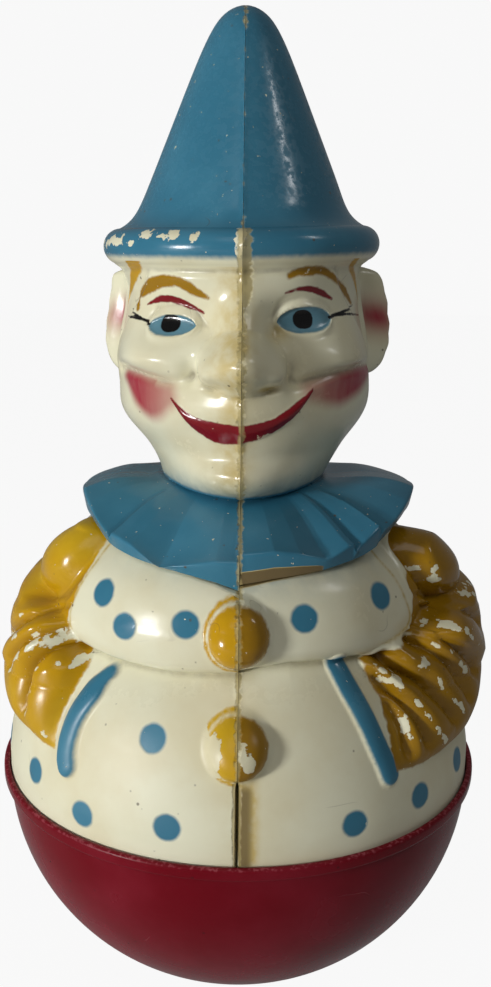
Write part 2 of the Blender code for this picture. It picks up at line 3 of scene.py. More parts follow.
import bpy
import numpy as np
from mathutils import Matrix, Quaternion, Vector


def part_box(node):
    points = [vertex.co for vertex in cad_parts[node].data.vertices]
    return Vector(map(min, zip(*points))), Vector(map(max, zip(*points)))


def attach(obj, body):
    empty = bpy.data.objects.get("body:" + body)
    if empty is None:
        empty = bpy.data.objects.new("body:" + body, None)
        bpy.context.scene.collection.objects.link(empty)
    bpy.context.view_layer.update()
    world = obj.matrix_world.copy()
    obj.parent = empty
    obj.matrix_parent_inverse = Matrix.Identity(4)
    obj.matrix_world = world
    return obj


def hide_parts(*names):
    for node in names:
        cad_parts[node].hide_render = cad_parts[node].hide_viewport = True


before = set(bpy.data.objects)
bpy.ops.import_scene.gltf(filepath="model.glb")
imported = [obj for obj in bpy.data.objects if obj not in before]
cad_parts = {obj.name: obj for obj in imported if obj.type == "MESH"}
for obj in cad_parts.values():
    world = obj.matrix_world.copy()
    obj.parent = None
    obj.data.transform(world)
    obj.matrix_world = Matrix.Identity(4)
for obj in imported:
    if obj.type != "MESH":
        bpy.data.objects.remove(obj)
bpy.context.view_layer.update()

# Sizes are in millimetres, and MM turns them into the frame's metres. The toy faces -Y, and left
# and right are the viewer's.

MM = 0.001


# Base bowl: the bowl that the toy rocks on, one moulding of red plastic with a proud lip round its rim.
# The figure's bottom edge stands in the seat inside the lip, and a boss on the floor takes the screw.

bowl_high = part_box("base_bowl")[1]
LIP_RADIUS = bowl_high.x / MM
LIP_TOP = bowl_high.z / MM
LIP_PROUD = 1.5
LIP_ABOVE_BALL = 2.0
LIP_HEIGHT = 3.0
LIP_EDGE_ROUNDING = 0.9
LIP_UNDER_ROUNDING = 0.7
LIP_INNER_ROUNDING = 0.4
LIP_ROOT_ROUNDING = 0.3
LIP_ROOT_RUN = 0.35
SEAT_DEPTH = 2.5
BOWL_WALL = 2.2
FOOT_RADIUS = 8.0
FOOT_EDGE = 0.8
BOSS_RADIUS = 4.5
BOSS_HEIGHT = 12.0
SCREW_HOLE = 2.3
PILOT_FLOOR = 2.0
BALL_RADIUS = LIP_RADIUS - LIP_PROUD
BALL_Z = LIP_TOP - LIP_ABOVE_BALL
BOWL_DEPTH = BALL_Z / math.sqrt(1.0 - (FOOT_RADIUS / BALL_RADIUS) ** 2)
BOWL_FLOOR = BALL_Z - BOWL_DEPTH + BOWL_WALL
BOSS_TOP = BOWL_FLOOR + BOSS_HEIGHT
SHARP_DEGREES = 42


def bowl_arc(inset, from_reach, to_reach, bands):
    """Points on the bowl's curve, a given way inside it, between two distances from the axis."""
    wide = BALL_RADIUS - inset
    turns = np.linspace(math.asin(from_reach / wide), math.asin(to_reach / wide), bands + 1)
    return [(wide * math.sin(turn), BALL_Z - (BOWL_DEPTH - inset) * math.cos(turn)) for turn in turns]


def eased_corner(before, corner, after, reach, steps=5):
    """A rounded corner: points on a curve that leaves one straight run and joins the next."""
    before, corner, after = (np.array(point, float) for point in (before, corner, after))
    start = corner + (before - corner) * min(reach / np.linalg.norm(before - corner), 0.5)
    end = corner + (after - corner) * min(reach / np.linalg.norm(after - corner), 0.5)
    shares = np.linspace(0.0, 1.0, steps)
    return [tuple(start * (1 - t) ** 2 + corner * 2 * t * (1 - t) + end * t**2) for t in shares]


def turned_piece(name, profile, segments, closed=False):
    """A profile turned about the toy's axis. It runs so that the outside lies on its right."""
    points = np.array(profile, float) * MM
    turns = np.linspace(0.0, 2 * math.pi, segments, endpoint=False)
    rings = []
    vertices = []
    for radius, height in points:
        if radius == 0.0:
            rings.append([len(vertices)] * segments)
            vertices.append((0.0, 0.0, height))
            continue
        rings.append(list(range(len(vertices), len(vertices) + segments)))
        vertices += [(radius * math.sin(t), -radius * math.cos(t), height) for t in turns]
    if closed:
        rings.append(rings[0])
    faces = []
    for upper, lower in zip(rings, rings[1:]):
        for i in range(segments):
            j = (i + 1) % segments
            face = [upper[i], upper[j], lower[j], lower[i]]
            faces.append(list(dict.fromkeys(face)))
    mesh = bpy.data.meshes.new(name)
    mesh.from_pydata(vertices, [], faces)
    mesh.shade_smooth()
    mesh.set_sharp_from_angle(angle=math.radians(SHARP_DEGREES))
    piece = bpy.data.objects.new(name, mesh)
    bpy.context.scene.collection.objects.link(piece)
    return piece


def put(tree, kind, inputs, **settings):
    """A shader node with its settings made, and each socket given a value or a link."""
    node = tree.nodes.new(kind)
    for name, value in settings.items():
        setattr(node, name, value)
    for socket, value in inputs.items():
        if isinstance(value, bpy.types.NodeSocket):
            tree.links.new(value, node.inputs[socket])
        else:
            node.inputs[socket].default_value = value
    return node


def sums(tree, operation, *values):
    return put(tree, "ShaderNodeMath", dict(enumerate(values)), operation=operation).outputs[0]


def times(tree, first, second):
    return sums(tree, "MULTIPLY", first, second)


def plus(tree, value, more, share):
    """A value with a share of another added to it."""
    return sums(tree, "MULTIPLY_ADD", more, share, value)


def ranged(tree, value, start, end, low=0.0, high=1.0):
    """A value eased from low to high while it goes from start to end."""
    inputs = {"Value": value, "From Min": start, "From Max": end, "To Min": low, "To Max": high}
    return put(tree, "ShaderNodeMapRange", inputs, interpolation_type="SMOOTHSTEP").outputs[0]


def noise(tree, place, scale, detail=2.0, distortion=0.0):
    inputs = {"Vector": place, "Scale": scale, "Detail": detail, "Distortion": distortion}
    return put(tree, "ShaderNodeTexNoise", inputs).outputs[0]


def mixed(tree, share, first, second):
    """Two colours mixed; each is a link or three numbers."""
    first, second = (c if isinstance(c, bpy.types.NodeSocket) else (*c, 1.0) for c in (first, second))
    return put(tree, "ShaderNodeMix", {0: share, 6: first, 7: second}, data_type="RGBA").outputs[2]


def new_material(name):
    made = bpy.data.materials.new(name)
    made.use_nodes = True
    return made, made.node_tree, made.node_tree.nodes["Principled BSDF"]


def handling_wear_group():
    """Marks of handling for every material: cloud, grain, scratches and specks, each from 0 to 1."""
    group = bpy.data.node_groups.new("handling_wear", "ShaderNodeTree")
    for name in ("Cloud", "Grain", "Scratches", "Specks"):
        group.interface.new_socket(name, in_out="OUTPUT", socket_type="NodeSocketFloat")
    place = put(group, "ShaderNodeTexCoord", {}).outputs["Object"]
    line = sums(group, "ABSOLUTE", sums(group, "SUBTRACT", noise(group, place, 38.0, 1.6, 0.9), 0.5))
    broken = ranged(group, noise(group, place, 75.0, 1.0), 0.60, 0.70)
    scratches = times(group, ranged(group, line, 0.0042, 0.0012), broken)
    cells = put(group, "ShaderNodeTexVoronoi", {"Vector": place, "Scale": 330.0})
    few = ranged(group, noise(group, place, 210.0, 0.0), 0.64, 0.70)
    specks = times(group, ranged(group, cells.outputs["Distance"], 0.16, 0.07), few)
    inputs = {
        "Cloud": noise(group, place, 45.0, 5.0),
        "Grain": noise(group, place, 1500.0, 3.0),
        "Scratches": scratches,
        "Specks": specks,
    }
    put(group, "NodeGroupOutput", inputs)
    return group


def handling_wear(tree):
    return put(tree, "ShaderNodeGroup", {}, node_tree=bpy.data.node_groups["handling_wear"]).outputs


def bumped(tree, shader, height_mm):
    """Feeds a height in millimetres to the shader as a bump."""
    bump_node = put(tree, "ShaderNodeBump", {"Height": height_mm, "Distance": MM})
    tree.links.new(bump_node.outputs[0], shader.inputs["Normal"])


handling_wear_group()

RED = (0.155, 0.002, 0.008)
RED_FADED = (0.195, 0.008, 0.018)
RED_SCRATCHED = (0.42, 0.12, 0.13)
RED_SCUFFED = (0.40, 0.09, 0.11)
RED_DIRT = (0.045, 0.008, 0.010)
BOWL_SHINE = 0.13
SCUFFS_START = LIP_TOP - 0.7
SCUFFS_FULL = LIP_TOP - 0.15


def red_plastic():
    made, tree, shader = new_material("red_plastic")
    wear = handling_wear(tree)
    place = put(tree, "ShaderNodeTexCoord", {}).outputs["Object"]
    upright = put(tree, "ShaderNodeSeparateXYZ", {0: place}).outputs["Z"]
    on_lip = ranged(tree, upright, SCUFFS_START * MM, SCUFFS_FULL * MM)
    scuffs = times(tree, on_lip, ranged(tree, noise(tree, place, 1100.0, 5.0), 0.5, 0.62))
    colour = mixed(tree, ranged(tree, wear["Cloud"], 0.35, 0.7), RED, RED_FADED)
    colour = mixed(tree, times(tree, wear["Scratches"], 0.35), colour, RED_SCRATCHED)
    colour = mixed(tree, times(tree, wear["Specks"], 0.6), colour, RED_DIRT)
    colour = mixed(tree, times(tree, scuffs, 0.6), colour, RED_SCUFFED)
    tree.links.new(colour, shader.inputs["Base Color"])
    shader.inputs["Specular IOR Level"].default_value = BOWL_SHINE
    rough = ranged(tree, wear["Cloud"], 0.3, 0.75, 0.17, 0.30)
    rough = plus(tree, rough, on_lip, 0.2)
    rough = plus(tree, rough, wear["Scratches"], 0.25)
    tree.links.new(rough, shader.inputs["Roughness"])
    height = times(tree, wear["Grain"], 0.006)
    height = plus(tree, height, wear["Cloud"], 0.12)
    height = plus(tree, height, wear["Scratches"], -0.02)
    bumped(tree, shader, height)
    return made


lip_under = LIP_TOP - LIP_HEIGHT
seat_z = LIP_TOP - SEAT_DEPTH
lip_corners = [(BALL_RADIUS, LIP_TOP), (LIP_RADIUS, LIP_TOP), (LIP_RADIUS, lip_under)]
lip_root = (BALL_RADIUS, lip_under)
bowl_profile = [(0.0, 0.0), (FOOT_RADIUS - FOOT_EDGE, 0.0)]
bowl_profile += bowl_arc(0.0, FOOT_RADIUS, BALL_RADIUS - LIP_ROOT_RUN, bands=56)
bowl_profile += [(BALL_RADIUS, lip_under - LIP_ROOT_RUN)]
bowl_profile += eased_corner(bowl_profile[-1], lip_root, lip_corners[2], LIP_ROOT_ROUNDING, steps=3)
bowl_profile += eased_corner(lip_root, lip_corners[2], lip_corners[1], LIP_UNDER_ROUNDING)
bowl_profile += eased_corner(lip_corners[2], lip_corners[1], lip_corners[0], LIP_EDGE_ROUNDING)
bowl_profile += eased_corner(lip_corners[1], lip_corners[0], (BALL_RADIUS, seat_z), LIP_INNER_ROUNDING)
bowl_profile += [(BALL_RADIUS, seat_z)]
seat_drop = (BALL_Z - seat_z) / (BOWL_DEPTH - BOWL_WALL)
seat_reach = (BALL_RADIUS - BOWL_WALL) * math.sqrt(1.0 - seat_drop**2)
bowl_profile += bowl_arc(BOWL_WALL, BOSS_RADIUS, seat_reach, bands=40)[::-1]
bowl_profile += [(BOSS_RADIUS, BOSS_TOP), (SCREW_HOLE, BOSS_TOP)]
bowl_profile += [(SCREW_HOLE, BOWL_FLOOR + PILOT_FLOOR), (0.0, BOWL_FLOOR + PILOT_FLOOR)]
base_bowl = turned_piece("red_bowl", bowl_profile, segments=160)
base_bowl.data.materials.append(red_plastic())
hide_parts("base_bowl")
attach(base_bowl, "toy")


# Counterweight: a slug of cast iron that rights the toy, turned flat on top and domed below to
# match the bowl's floor. It stands on the boss, and a screw through its middle holds it.

WEIGHT_RADIUS = 28.0
WEIGHT_OVER_BOSS = 10.0
GAP = 0.3
WEIGHT_BASE = BOSS_TOP + GAP
WEIGHT_TOP = WEIGHT_BASE + WEIGHT_OVER_BOSS
WEIGHT_ROUNDING = 1.2
HOLE_CHAMFER = 0.3
IRON = (0.06, 0.058, 0.055)
IRON_WORN = (0.12, 0.115, 0.11)
RUST = (0.16, 0.055, 0.018)


def cast_iron():
    made, tree, shader = new_material("cast_iron")
    wear = handling_wear(tree)
    place = put(tree, "ShaderNodeTexCoord", {}).outputs["Object"]
    rust = ranged(tree, noise(tree, place, 130.0, 6.0), 0.52, 0.68)
    colour = mixed(tree, wear["Cloud"], IRON, IRON_WORN)
    colour = mixed(tree, rust, colour, RUST)
    tree.links.new(colour, shader.inputs["Base Color"])
    tree.links.new(ranged(tree, rust, 0.0, 1.0, 0.85, 0.1), shader.inputs["Metallic"])
    tree.links.new(ranged(tree, wear["Grain"], 0.3, 0.7, 0.5, 0.8), shader.inputs["Roughness"])
    pits = times(tree, noise(tree, place, 700.0, 4.0), 0.25)
    bumped(tree, shader, plus(tree, pits, rust, 0.05))
    return made


weight_rim = (WEIGHT_RADIUS, WEIGHT_TOP)
dome_below = bowl_arc(BOWL_WALL + GAP, BOSS_RADIUS + GAP, WEIGHT_RADIUS, bands=24)
weight_profile = [(SCREW_HOLE, WEIGHT_BASE), (BOSS_RADIUS + GAP, WEIGHT_BASE)]
weight_profile += dome_below
weight_profile += eased_corner(dome_below[-1], weight_rim, (SCREW_HOLE, WEIGHT_TOP), WEIGHT_ROUNDING)
weight_profile += [(SCREW_HOLE + HOLE_CHAMFER, WEIGHT_TOP), (SCREW_HOLE, WEIGHT_TOP - HOLE_CHAMFER)]
weight = turned_piece("iron_weight", weight_profile, segments=96, closed=True)
weight.data.materials.append(cast_iron())
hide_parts("counterweight")
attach(weight, "toy")


# Washer and screw: zinc-plated steel. The screw goes through the washer and the weight into the boss,
# and its round head has a slot for a driver.

WASHER_RADIUS = 6.5
WASHER_THICKNESS = 1.0
WASHER_ROUNDING = 0.2
WASHER_BASE = WEIGHT_TOP + GAP
WASHER_TOP = WASHER_BASE + WASHER_THICKNESS
SCREW_RADIUS = 2.0
HEAD_RADIUS = 4.0
HEAD_BASE = WASHER_TOP + GAP
HEAD_HEIGHT = 2.6
HEAD_TOP = HEAD_BASE + HEAD_HEIGHT
HEAD_CROWN = 0.8
HEAD_CHAMFER = 0.15
TIP_CLEARANCE = 1.0
SCREW_TIP = BOWL_FLOOR + PILOT_FLOOR + TIP_CLEARANCE
SLOT_WIDTH = 1.0
SLOT_DEPTH = 1.2
ZINC = (0.55, 0.54, 0.50)
ZINC_DULL = (0.44, 0.43, 0.38)
ZINC_BLOOM = (0.60, 0.60, 0.58)


def plated_steel():
    made, tree, shader = new_material("plated_steel")
    wear = handling_wear(tree)
    place = put(tree, "ShaderNodeTexCoord", {}).outputs["Object"]
    bloom = ranged(tree, noise(tree, place, 420.0, 5.0), 0.5, 0.7)
    colour = mixed(tree, wear["Cloud"], ZINC, ZINC_DULL)
    colour = mixed(tree, bloom, colour, ZINC_BLOOM)
    tree.links.new(colour, shader.inputs["Base Color"])
    shader.inputs["Metallic"].default_value = 1.0
    tree.links.new(ranged(tree, bloom, 0.0, 1.0, 0.30, 0.62), shader.inputs["Roughness"])
    bumped(tree, shader, times(tree, wear["Grain"], 0.02))
    return made


steel = plated_steel()
washer_corners = [
    (SCREW_HOLE, WASHER_BASE),
    (WASHER_RADIUS, WASHER_BASE),
    (WASHER_RADIUS, WASHER_TOP),
    (SCREW_HOLE, WASHER_TOP),
]
washer_profile = []
for index in range(4):
    neighbours = washer_corners[index - 1], washer_corners[index], washer_corners[(index + 1) % 4]
    washer_profile += eased_corner(*neighbours, WASHER_ROUNDING, steps=4)
washer = turned_piece("steel_washer", washer_profile, segments=72, closed=True)
washer.data.materials.append(steel)
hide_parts("weight_washer")
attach(washer, "toy")

screw_profile = [(0.0, SCREW_TIP), (SCREW_RADIUS, SCREW_TIP + SCREW_RADIUS)]
screw_profile += [(SCREW_RADIUS, HEAD_BASE), (HEAD_RADIUS - HEAD_CHAMFER, HEAD_BASE)]
screw_profile += [(HEAD_RADIUS, HEAD_BASE + HEAD_CHAMFER)]
for share in np.linspace(1.0, 0.0, 9):
    screw_profile.append((HEAD_RADIUS * share, HEAD_TOP - HEAD_CROWN * share**2))
screw_blank = turned_piece("screw_blank", screw_profile, segments=64)
slot_half = (2 * HEAD_RADIUS * MM, SLOT_WIDTH / 2 * MM, SLOT_DEPTH * MM)
slot_corners = [(x, y, z) for x in (-1, 1) for y in (-1, 1) for z in (-1, 1)]
slot_mesh = bpy.data.meshes.new("driver_slot")
slot_faces = [(0, 1, 3, 2), (4, 6, 7, 5), (0, 4, 5, 1), (2, 3, 7, 6), (0, 2, 6, 4), (1, 5, 7, 3)]
slot_points = [tuple(half * way for half, way in zip(slot_half, corner)) for corner in slot_corners]
slot_mesh.from_pydata(slot_points, [], slot_faces)
slot_cutter = bpy.data.objects.new("driver_slot", slot_mesh)
slot_cutter.location.z = HEAD_TOP * MM
bpy.context.scene.collection.objects.link(slot_cutter)
slot_cut = screw_blank.modifiers.new("Slot", "BOOLEAN")
slot_cut.operation = "DIFFERENCE"
slot_cut.object = slot_cutter
slotted = screw_blank.evaluated_get(bpy.context.evaluated_depsgraph_get())
screw = bpy.data.objects.new("slotted_screw", bpy.data.meshes.new_from_object(slotted))
bpy.context.scene.collection.objects.link(screw)
bpy.data.objects.remove(screw_blank, do_unlink=True)
bpy.data.objects.remove(slot_cutter, do_unlink=True)
screw.data.materials.clear()
screw.data.materials.append(steel)
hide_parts("weight_screw")
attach(screw, "toy")


# Rattle pellets: eight moulded plastic balls, each with the fine ridge of its mould, loose in the trough
# between the weight and the bowl's wall. They knock and roll when the toy rocks.

PELLET_COUNT = 8
RIDGE_SHARE = 0.015
RIDGE_WIDTH = 0.05
TUMBLE_X = 1.1
TUMBLE_Y = 0.7
TAN = (0.75, 0.62, 0.36)
TAN_AGED = (0.68, 0.54, 0.29)
TAN_SCUFFED = (0.82, 0.74, 0.56)


def pellet_plastic():
    made, tree, shader = new_material("pellet_plastic")
    wear = handling_wear(tree)
    place = put(tree, "ShaderNodeTexCoord", {}).outputs["Object"]
    scuff = ranged(tree, noise(tree, place, 520.0, 5.0), 0.5, 0.72)
    colour = mixed(tree, wear["Cloud"], TAN, TAN_AGED)
    colour = mixed(tree, times(tree, scuff, 0.5), colour, TAN_SCUFFED)
    tree.links.new(colour, shader.inputs["Base Color"])
    tree.links.new(ranged(tree, scuff, 0.0, 1.0, 0.38, 0.68), shader.inputs["Roughness"])
    bumped(tree, shader, plus(tree, times(tree, wear["Grain"], 0.02), scuff, -0.04))
    return made


pellet_finish = pellet_plastic()
for number in range(1, PELLET_COUNT + 1):
    pellet_low, pellet_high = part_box(f"rattle_pellet_{number}")
    middle = (pellet_low + pellet_high) / 2
    pellet_radius = (pellet_high.z - pellet_low.z) / 2 / MM
    latitudes = np.linspace(-math.pi / 2, math.pi / 2, 29)
    ridge = RIDGE_SHARE * np.exp(-((latitudes / RIDGE_WIDTH) ** 2))
    swell = pellet_radius * (1.0 - RIDGE_SHARE + ridge)
    pellet_profile = np.stack([swell * np.cos(latitudes), swell * np.sin(latitudes)], axis=1)
    pellet_profile[[0, -1], 0] = 0.0
    pellet = turned_piece(f"pellet_ball_{number}", pellet_profile, segments=40)
    tumble = Matrix.Rotation(TUMBLE_X * number, 4, "X") @ Matrix.Rotation(TUMBLE_Y * number, 4, "Y")
    pellet.data.transform(Matrix.Translation(middle) @ tumble)
    pellet.data.materials.append(pellet_finish)
    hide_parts(f"rattle_pellet_{number}")
    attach(pellet, f"pellet_{number}")


# Figure: the clown, moulded in two thin halves of cream plastic that are cemented down the middle of
# the front and the back. Hat, brim, head, collar, arms and buttons are all part of the two mouldings.
# Heights on it are from a foot that lies FIGURE_BALL_Z under the middle of its round belly.

FIGURE_BALL_Z = 61.48
SETTLE = BALL_Z - FIGURE_BALL_Z
figure_low, figure_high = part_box("figure_left_half")
HAT_TOP = figure_high.z / MM - SETTLE
FIGURE_BOTTOM = figure_low.z / MM - SETTLE
SEAT_CLEARANCE = 0.45
FIGURE_FOOT = BALL_RADIUS - SEAT_CLEARANCE
FIGURE_LIP = LIP_TOP - SETTLE
WAIST_LATITUDE = math.radians(41.8)
WAIST_RADIUS = BALL_RADIUS * math.cos(WAIST_LATITUDE)
WAIST_Z = FIGURE_BALL_Z + BALL_RADIUS * math.sin(WAIST_LATITUDE)
CHEST_RADIUS = WAIST_RADIUS + 3.6
CHEST_Z = WAIST_Z + 9.2
COLLAR_LOW = CHEST_Z + 20.0
COLLAR_TOP = COLLAR_LOW + 4.3
COLLAR_RADIUS = 42.5
COLLAR_BULGE = 1.2
EDGE_FOOT = COLLAR_LOW + 0.5
TUCK_IN = 5.0
TUCK_Z = COLLAR_LOW - 3.0
NECK_RADIUS = 22.0
NECK_Z = COLLAR_TOP + 5.2
JAW_RADIUS = 26.8
JAW_Z = NECK_Z + 7.8
CHEEK_RADIUS = 32.2
CHEEK_Z = JAW_Z + 12.5
TEMPLE_RADIUS = 28.8
TEMPLE_Z = CHEEK_Z + 20.7
BRIM_RADIUS = 34.5
BRIM_ROLL = 4.3
BRIM_ARC = (80, -66)
BRIM_Z = HAT_TOP - 55.9
FOREHEAD_RADIUS = 29.6
FOREHEAD_Z = BRIM_Z - 6.4
HAT_FOOT_RADIUS = 27.5
CROWN_RADIUS = 6.1
CROWN_FALL = 4.6
HAT_FLARE = 3.0
HAT_FLARE_FALL = 2.0
SEAM_HALF_GAP = 0.04


def smooth_run(points, steps):
    """Evenly spaced points along a Catmull-Rom curve through the given ones, the first left out."""
    knots = np.array(points, float)
    knots = np.vstack([2 * knots[0] - knots[1], knots, 2 * knots[-1] - knots[-2]])
    places = np.linspace(0.0, len(points) - 1, 40 * len(points))
    index = np.minimum(places.astype(int), len(points) - 2)
    t = (places - index)[:, None]
    p0, p1, p2, p3 = (knots[index + k] for k in range(4))
    curve = 2 * p1 + (p2 - p0) * t + (2 * p0 - 5 * p1 + 4 * p2 - p3) * t**2
    curve = (curve + (3 * p1 - p0 - 3 * p2 + p3) * t**3) / 2
    lengths = np.append(0.0, np.cumsum(np.linalg.norm(np.diff(curve, axis=0), axis=1)))
    wanted = np.linspace(0.0, lengths[-1], steps + 1)[1:]
    return np.stack([np.interp(wanted, lengths, curve[:, k]) for k in (0, 1)], axis=1)


def figure_outline():
    """The turned outline from the hat's tip to the seat, as one array for each stretch."""
    depth = (HAT_TOP - BRIM_Z - BRIM_ROLL) * (1.0 - np.cos(np.linspace(0.0, math.pi, 47))) / 2
    crown = CROWN_RADIUS * np.sqrt(1.0 - np.exp(-depth / CROWN_FALL))
    cone = (HAT_FOOT_RADIUS - CROWN_RADIUS) * depth / depth[-1]
    flare = HAT_FLARE * np.exp((depth - depth[-1]) / HAT_FLARE_FALL)
    hat = np.stack([crown + cone + flare, HAT_TOP - depth], axis=1)
    turns = np.radians(np.linspace(*BRIM_ARC, 25))
    roll_centre = BRIM_RADIUS - BRIM_ROLL
    brim = np.stack([roll_centre + BRIM_ROLL * np.cos(turns), BRIM_Z + BRIM_ROLL * np.sin(turns)], axis=1)
    head = [brim[-1], (FOREHEAD_RADIUS, FOREHEAD_Z), (TEMPLE_RADIUS, TEMPLE_Z)]
    head += [(CHEEK_RADIUS, CHEEK_Z), (JAW_RADIUS, JAW_Z), (NECK_RADIUS, NECK_Z)]
    middle = ((NECK_RADIUS + COLLAR_RADIUS) / 2, (NECK_Z + COLLAR_TOP) / 2 + COLLAR_BULGE)
    brink = (COLLAR_RADIUS - 0.4, COLLAR_TOP)
    collar = [(NECK_RADIUS, NECK_Z), middle, brink]
    edge = [brink, (COLLAR_RADIUS, COLLAR_TOP - 0.7), (COLLAR_RADIUS, EDGE_FOOT)]
    tucked = (COLLAR_RADIUS - TUCK_IN, TUCK_Z)
    under = [(COLLAR_RADIUS, EDGE_FOOT), (COLLAR_RADIUS - 0.7, COLLAR_LOW), tucked]
    chest = [
        tucked,
        ((tucked[0] + CHEST_RADIUS) / 2 + 2.25, (tucked[1] + CHEST_Z) / 2),
        (CHEST_RADIUS - 0.5, CHEST_Z + 0.8),
        (CHEST_RADIUS + 0.2, CHEST_Z - 3.6),
        (CHEST_RADIUS - 0.3, CHEST_Z - 6.6),
        (CHEST_RADIUS - 1.5, CHEST_Z - 8.3),
        (WAIST_RADIUS, WAIST_Z),
    ]
    lowest = math.asin((FIGURE_LIP - FIGURE_BALL_Z) / BALL_RADIUS)
    latitudes = np.linspace(WAIST_LATITUDE, lowest, 69)[1:]
    belly = BALL_RADIUS * np.stack([np.cos(latitudes), np.sin(latitudes)], axis=1)
    belly[:, 0] = np.minimum(belly[:, 0], FIGURE_FOOT)
    belly[:, 1] += FIGURE_BALL_Z
    foot = np.array([(FIGURE_FOOT, (FIGURE_LIP + FIGURE_BOTTOM) / 2), (FIGURE_FOOT, FIGURE_BOTTOM)])
    stretches = [hat, brim, smooth_run(head, 140), smooth_run(collar, 44), smooth_run(edge, 14)]
    stretches += [smooth_run(under, 12), smooth_run(chest, 64), belly, foot]
    return stretches


OUTLINE = figure_outline()
# The last stretch, the foot in the bowl's seat, needs no name.
HAT, BRIM, HEAD, COLLAR, COLLAR_EDGE, COLLAR_UNDER, CHEST, BELLY = range(len(OUTLINE) - 1)
outline = np.concatenate(OUTLINE)
stretch_of_row = np.concatenate([np.full(len(run), index) for index, run in enumerate(OUTLINE)])
front_turns = np.linspace(0, 60, 121)
side_turns = np.linspace(60, 112, 66)[1:]
back_turns = np.linspace(112, 180, 44)[1:]
turns = np.radians(np.concatenate([front_turns, side_turns, back_turns]))
ROWS = len(outline)
COLUMNS = len(turns)
radius, turn = np.meshgrid(outline[:, 0], turns, indexing="ij")
height = np.repeat(outline[:, 1:], COLUMNS, axis=1)
stretch = np.repeat(stretch_of_row[:, None], COLUMNS, axis=1)
degrees = np.degrees(turn)
mm_per_degree = radius * math.pi / 180
ahead = np.clip(np.cos(turn), 0.0, 1.0) ** 1.3
on_body = (stretch == CHEST) | (stretch == BELLY)
CREASE_BLEND = 0.3
NOWHERE = -9.0
FAR = 99.0
CURVE_MARGIN = 16.0


def ease(start, end, value):
    share = np.clip((value - start) / (end - start), 0.0, 1.0)
    return share * share * (3.0 - 2.0 * share)


def soft(value, width):
    """1 where a value is 0, falling away over a width on both sides."""
    return np.exp(-((value / width) ** 2))


def bump(at_degrees, at_height, half_width, half_height):
    """A soft bump on the figure, 1 at its middle, with half sizes in millimetres."""
    across = (degrees - at_degrees) * mm_per_degree / half_width
    return np.exp(-(across**2) - ((height - at_height) / half_height) ** 2)


def dome(at_degrees, at_height, half_width, half_height, power):
    """A round bump with a clear edge."""
    across = (degrees - at_degrees) * mm_per_degree / half_width
    inside = 1.0 - across**2 - ((height - at_height) / half_height) ** 2
    return np.clip(inside, 0.0, 1.0) ** power


def larger(first, second):
    """The larger of two values, with a soft crease where they meet."""
    return (first + second + np.sqrt((first - second) ** 2 + CREASE_BLEND**2)) / 2


def from_curve(points, level=height, girth=mm_per_degree, steps=60):
    """How far each place on the figure is from a curve of (degrees, height), and where along it."""
    curve = np.vstack([points[0], smooth_run(points, steps)])
    nearest = np.full(radius.shape, FAR)
    place = np.zeros(radius.shape)
    near = level.max(axis=1) > curve[:, 1].min() - CURVE_MARGIN
    near &= level.min(axis=1) < curve[:, 1].max() + CURVE_MARGIN
    shortest = nearest[near]
    share = place[near]
    for index, (at_degrees, at_height) in enumerate(curve):
        apart = np.hypot((degrees[near] - at_degrees) * girth[near], level[near] - at_height)
        closer = apart < shortest
        shortest[closer] = apart[closer]
        share[closer] = index / steps
    nearest[near] = shortest
    place[near] = share
    return nearest, place


# Face: cheeks like apples over a smile, a round nose, and a raised edge in front of each ear.
# The two halves differ a little, as the moulds did. Each place is degrees from the front and height.

EYES = {-1: (32.0, 178.8, 6.0, 2.35, -0.03), 1: (28.8, 180.4, 7.0, 2.9, 0.05)}
SMILE_UPPER = {
    -1: [(29.8, 162.9), (24.7, 160.8), (20.3, 159.3), (14.6, 158.3), (9.1, 157.8), (0.0, 157.3)],
    1: [(29.4, 165.1), (21.8, 162.3), (16.7, 160.5), (12.2, 159.0), (6.2, 157.9), (0.0, 157.3)],
}
SMILE_LOWER = {
    -1: [(29.8, 162.3), (26.5, 160.2), (22.3, 157.2), (17.9, 155.2), (9.4, 153.2), (0.0, 153.3)],
    1: [(29.4, 164.5), (26.3, 162.3), (19.3, 158.1), (11.3, 155.0), (7.4, 154.2), (0.0, 153.3)],
}
CHEEK_FOLDS = {
    -1: [(15.2, 169.2), (22.3, 167.0), (30.3, 166.0), (40.3, 166.5), (53.0, 167.6), (70.0, 167.6)],
    1: [(14.8, 167.8), (23.2, 166.4), (30.8, 167.5), (42.3, 168.6), (60.0, 169.0), (76.0, 168.6)],
}
MASK_EDGE_HEIGHTS = (140, 150, 160, 168, 175, 181, 187, 193, 200)
MASK_EDGE_DEGREES = (92, 86, 80, 75, 70, 62, 50, 40, 30)
MASK_EDGE_RISE = 0.9
JAW_SLIMMING = {-1: 3.4, 1: 1.6}
JAW_SLIMMING_Z = 147.5
CHEEK_SLIMMING = {-1: 1.9, 1: 0.7}
CHEEK_SLIMMING_Z = 162.5
EAR_RISES = {-1: 5.2, 1: 8.0}
EAR_HOLLOWS = {-1: 2.8, 1: 4.6}
EAR_Z = 177.8
EAR_HALF_HEIGHT = 12.8
EAR_RIM_DEGREES = 96.0
EAR_FRONT = 4.8
EAR_BACK = 7.0
EYE_OVERHANG = 0.2
SOCKET_DEPTH = 2.5
EYEBALL_RISE = 1.3
LID_RISE = 0.6
NOSE = (0, 171.0, 9.8, 7.4)
NOSE_RISE = 4.9
APPLE_DEGREES = 43
APPLE_Z = 171.5
APPLE_RISE = 3.7
APPLE_HALF_WIDTH = 10.5
APPLE_BELOW = 4.0
APPLE_ABOVE = 6.8
CHEEK_FOLD_DEPTH = 1.9
CHEEK_FOLD_WIDTH = 1.3
MOUTH_RISE = 0.75
HAIR_DEGREES = 109
HAIR_Z = 167.0
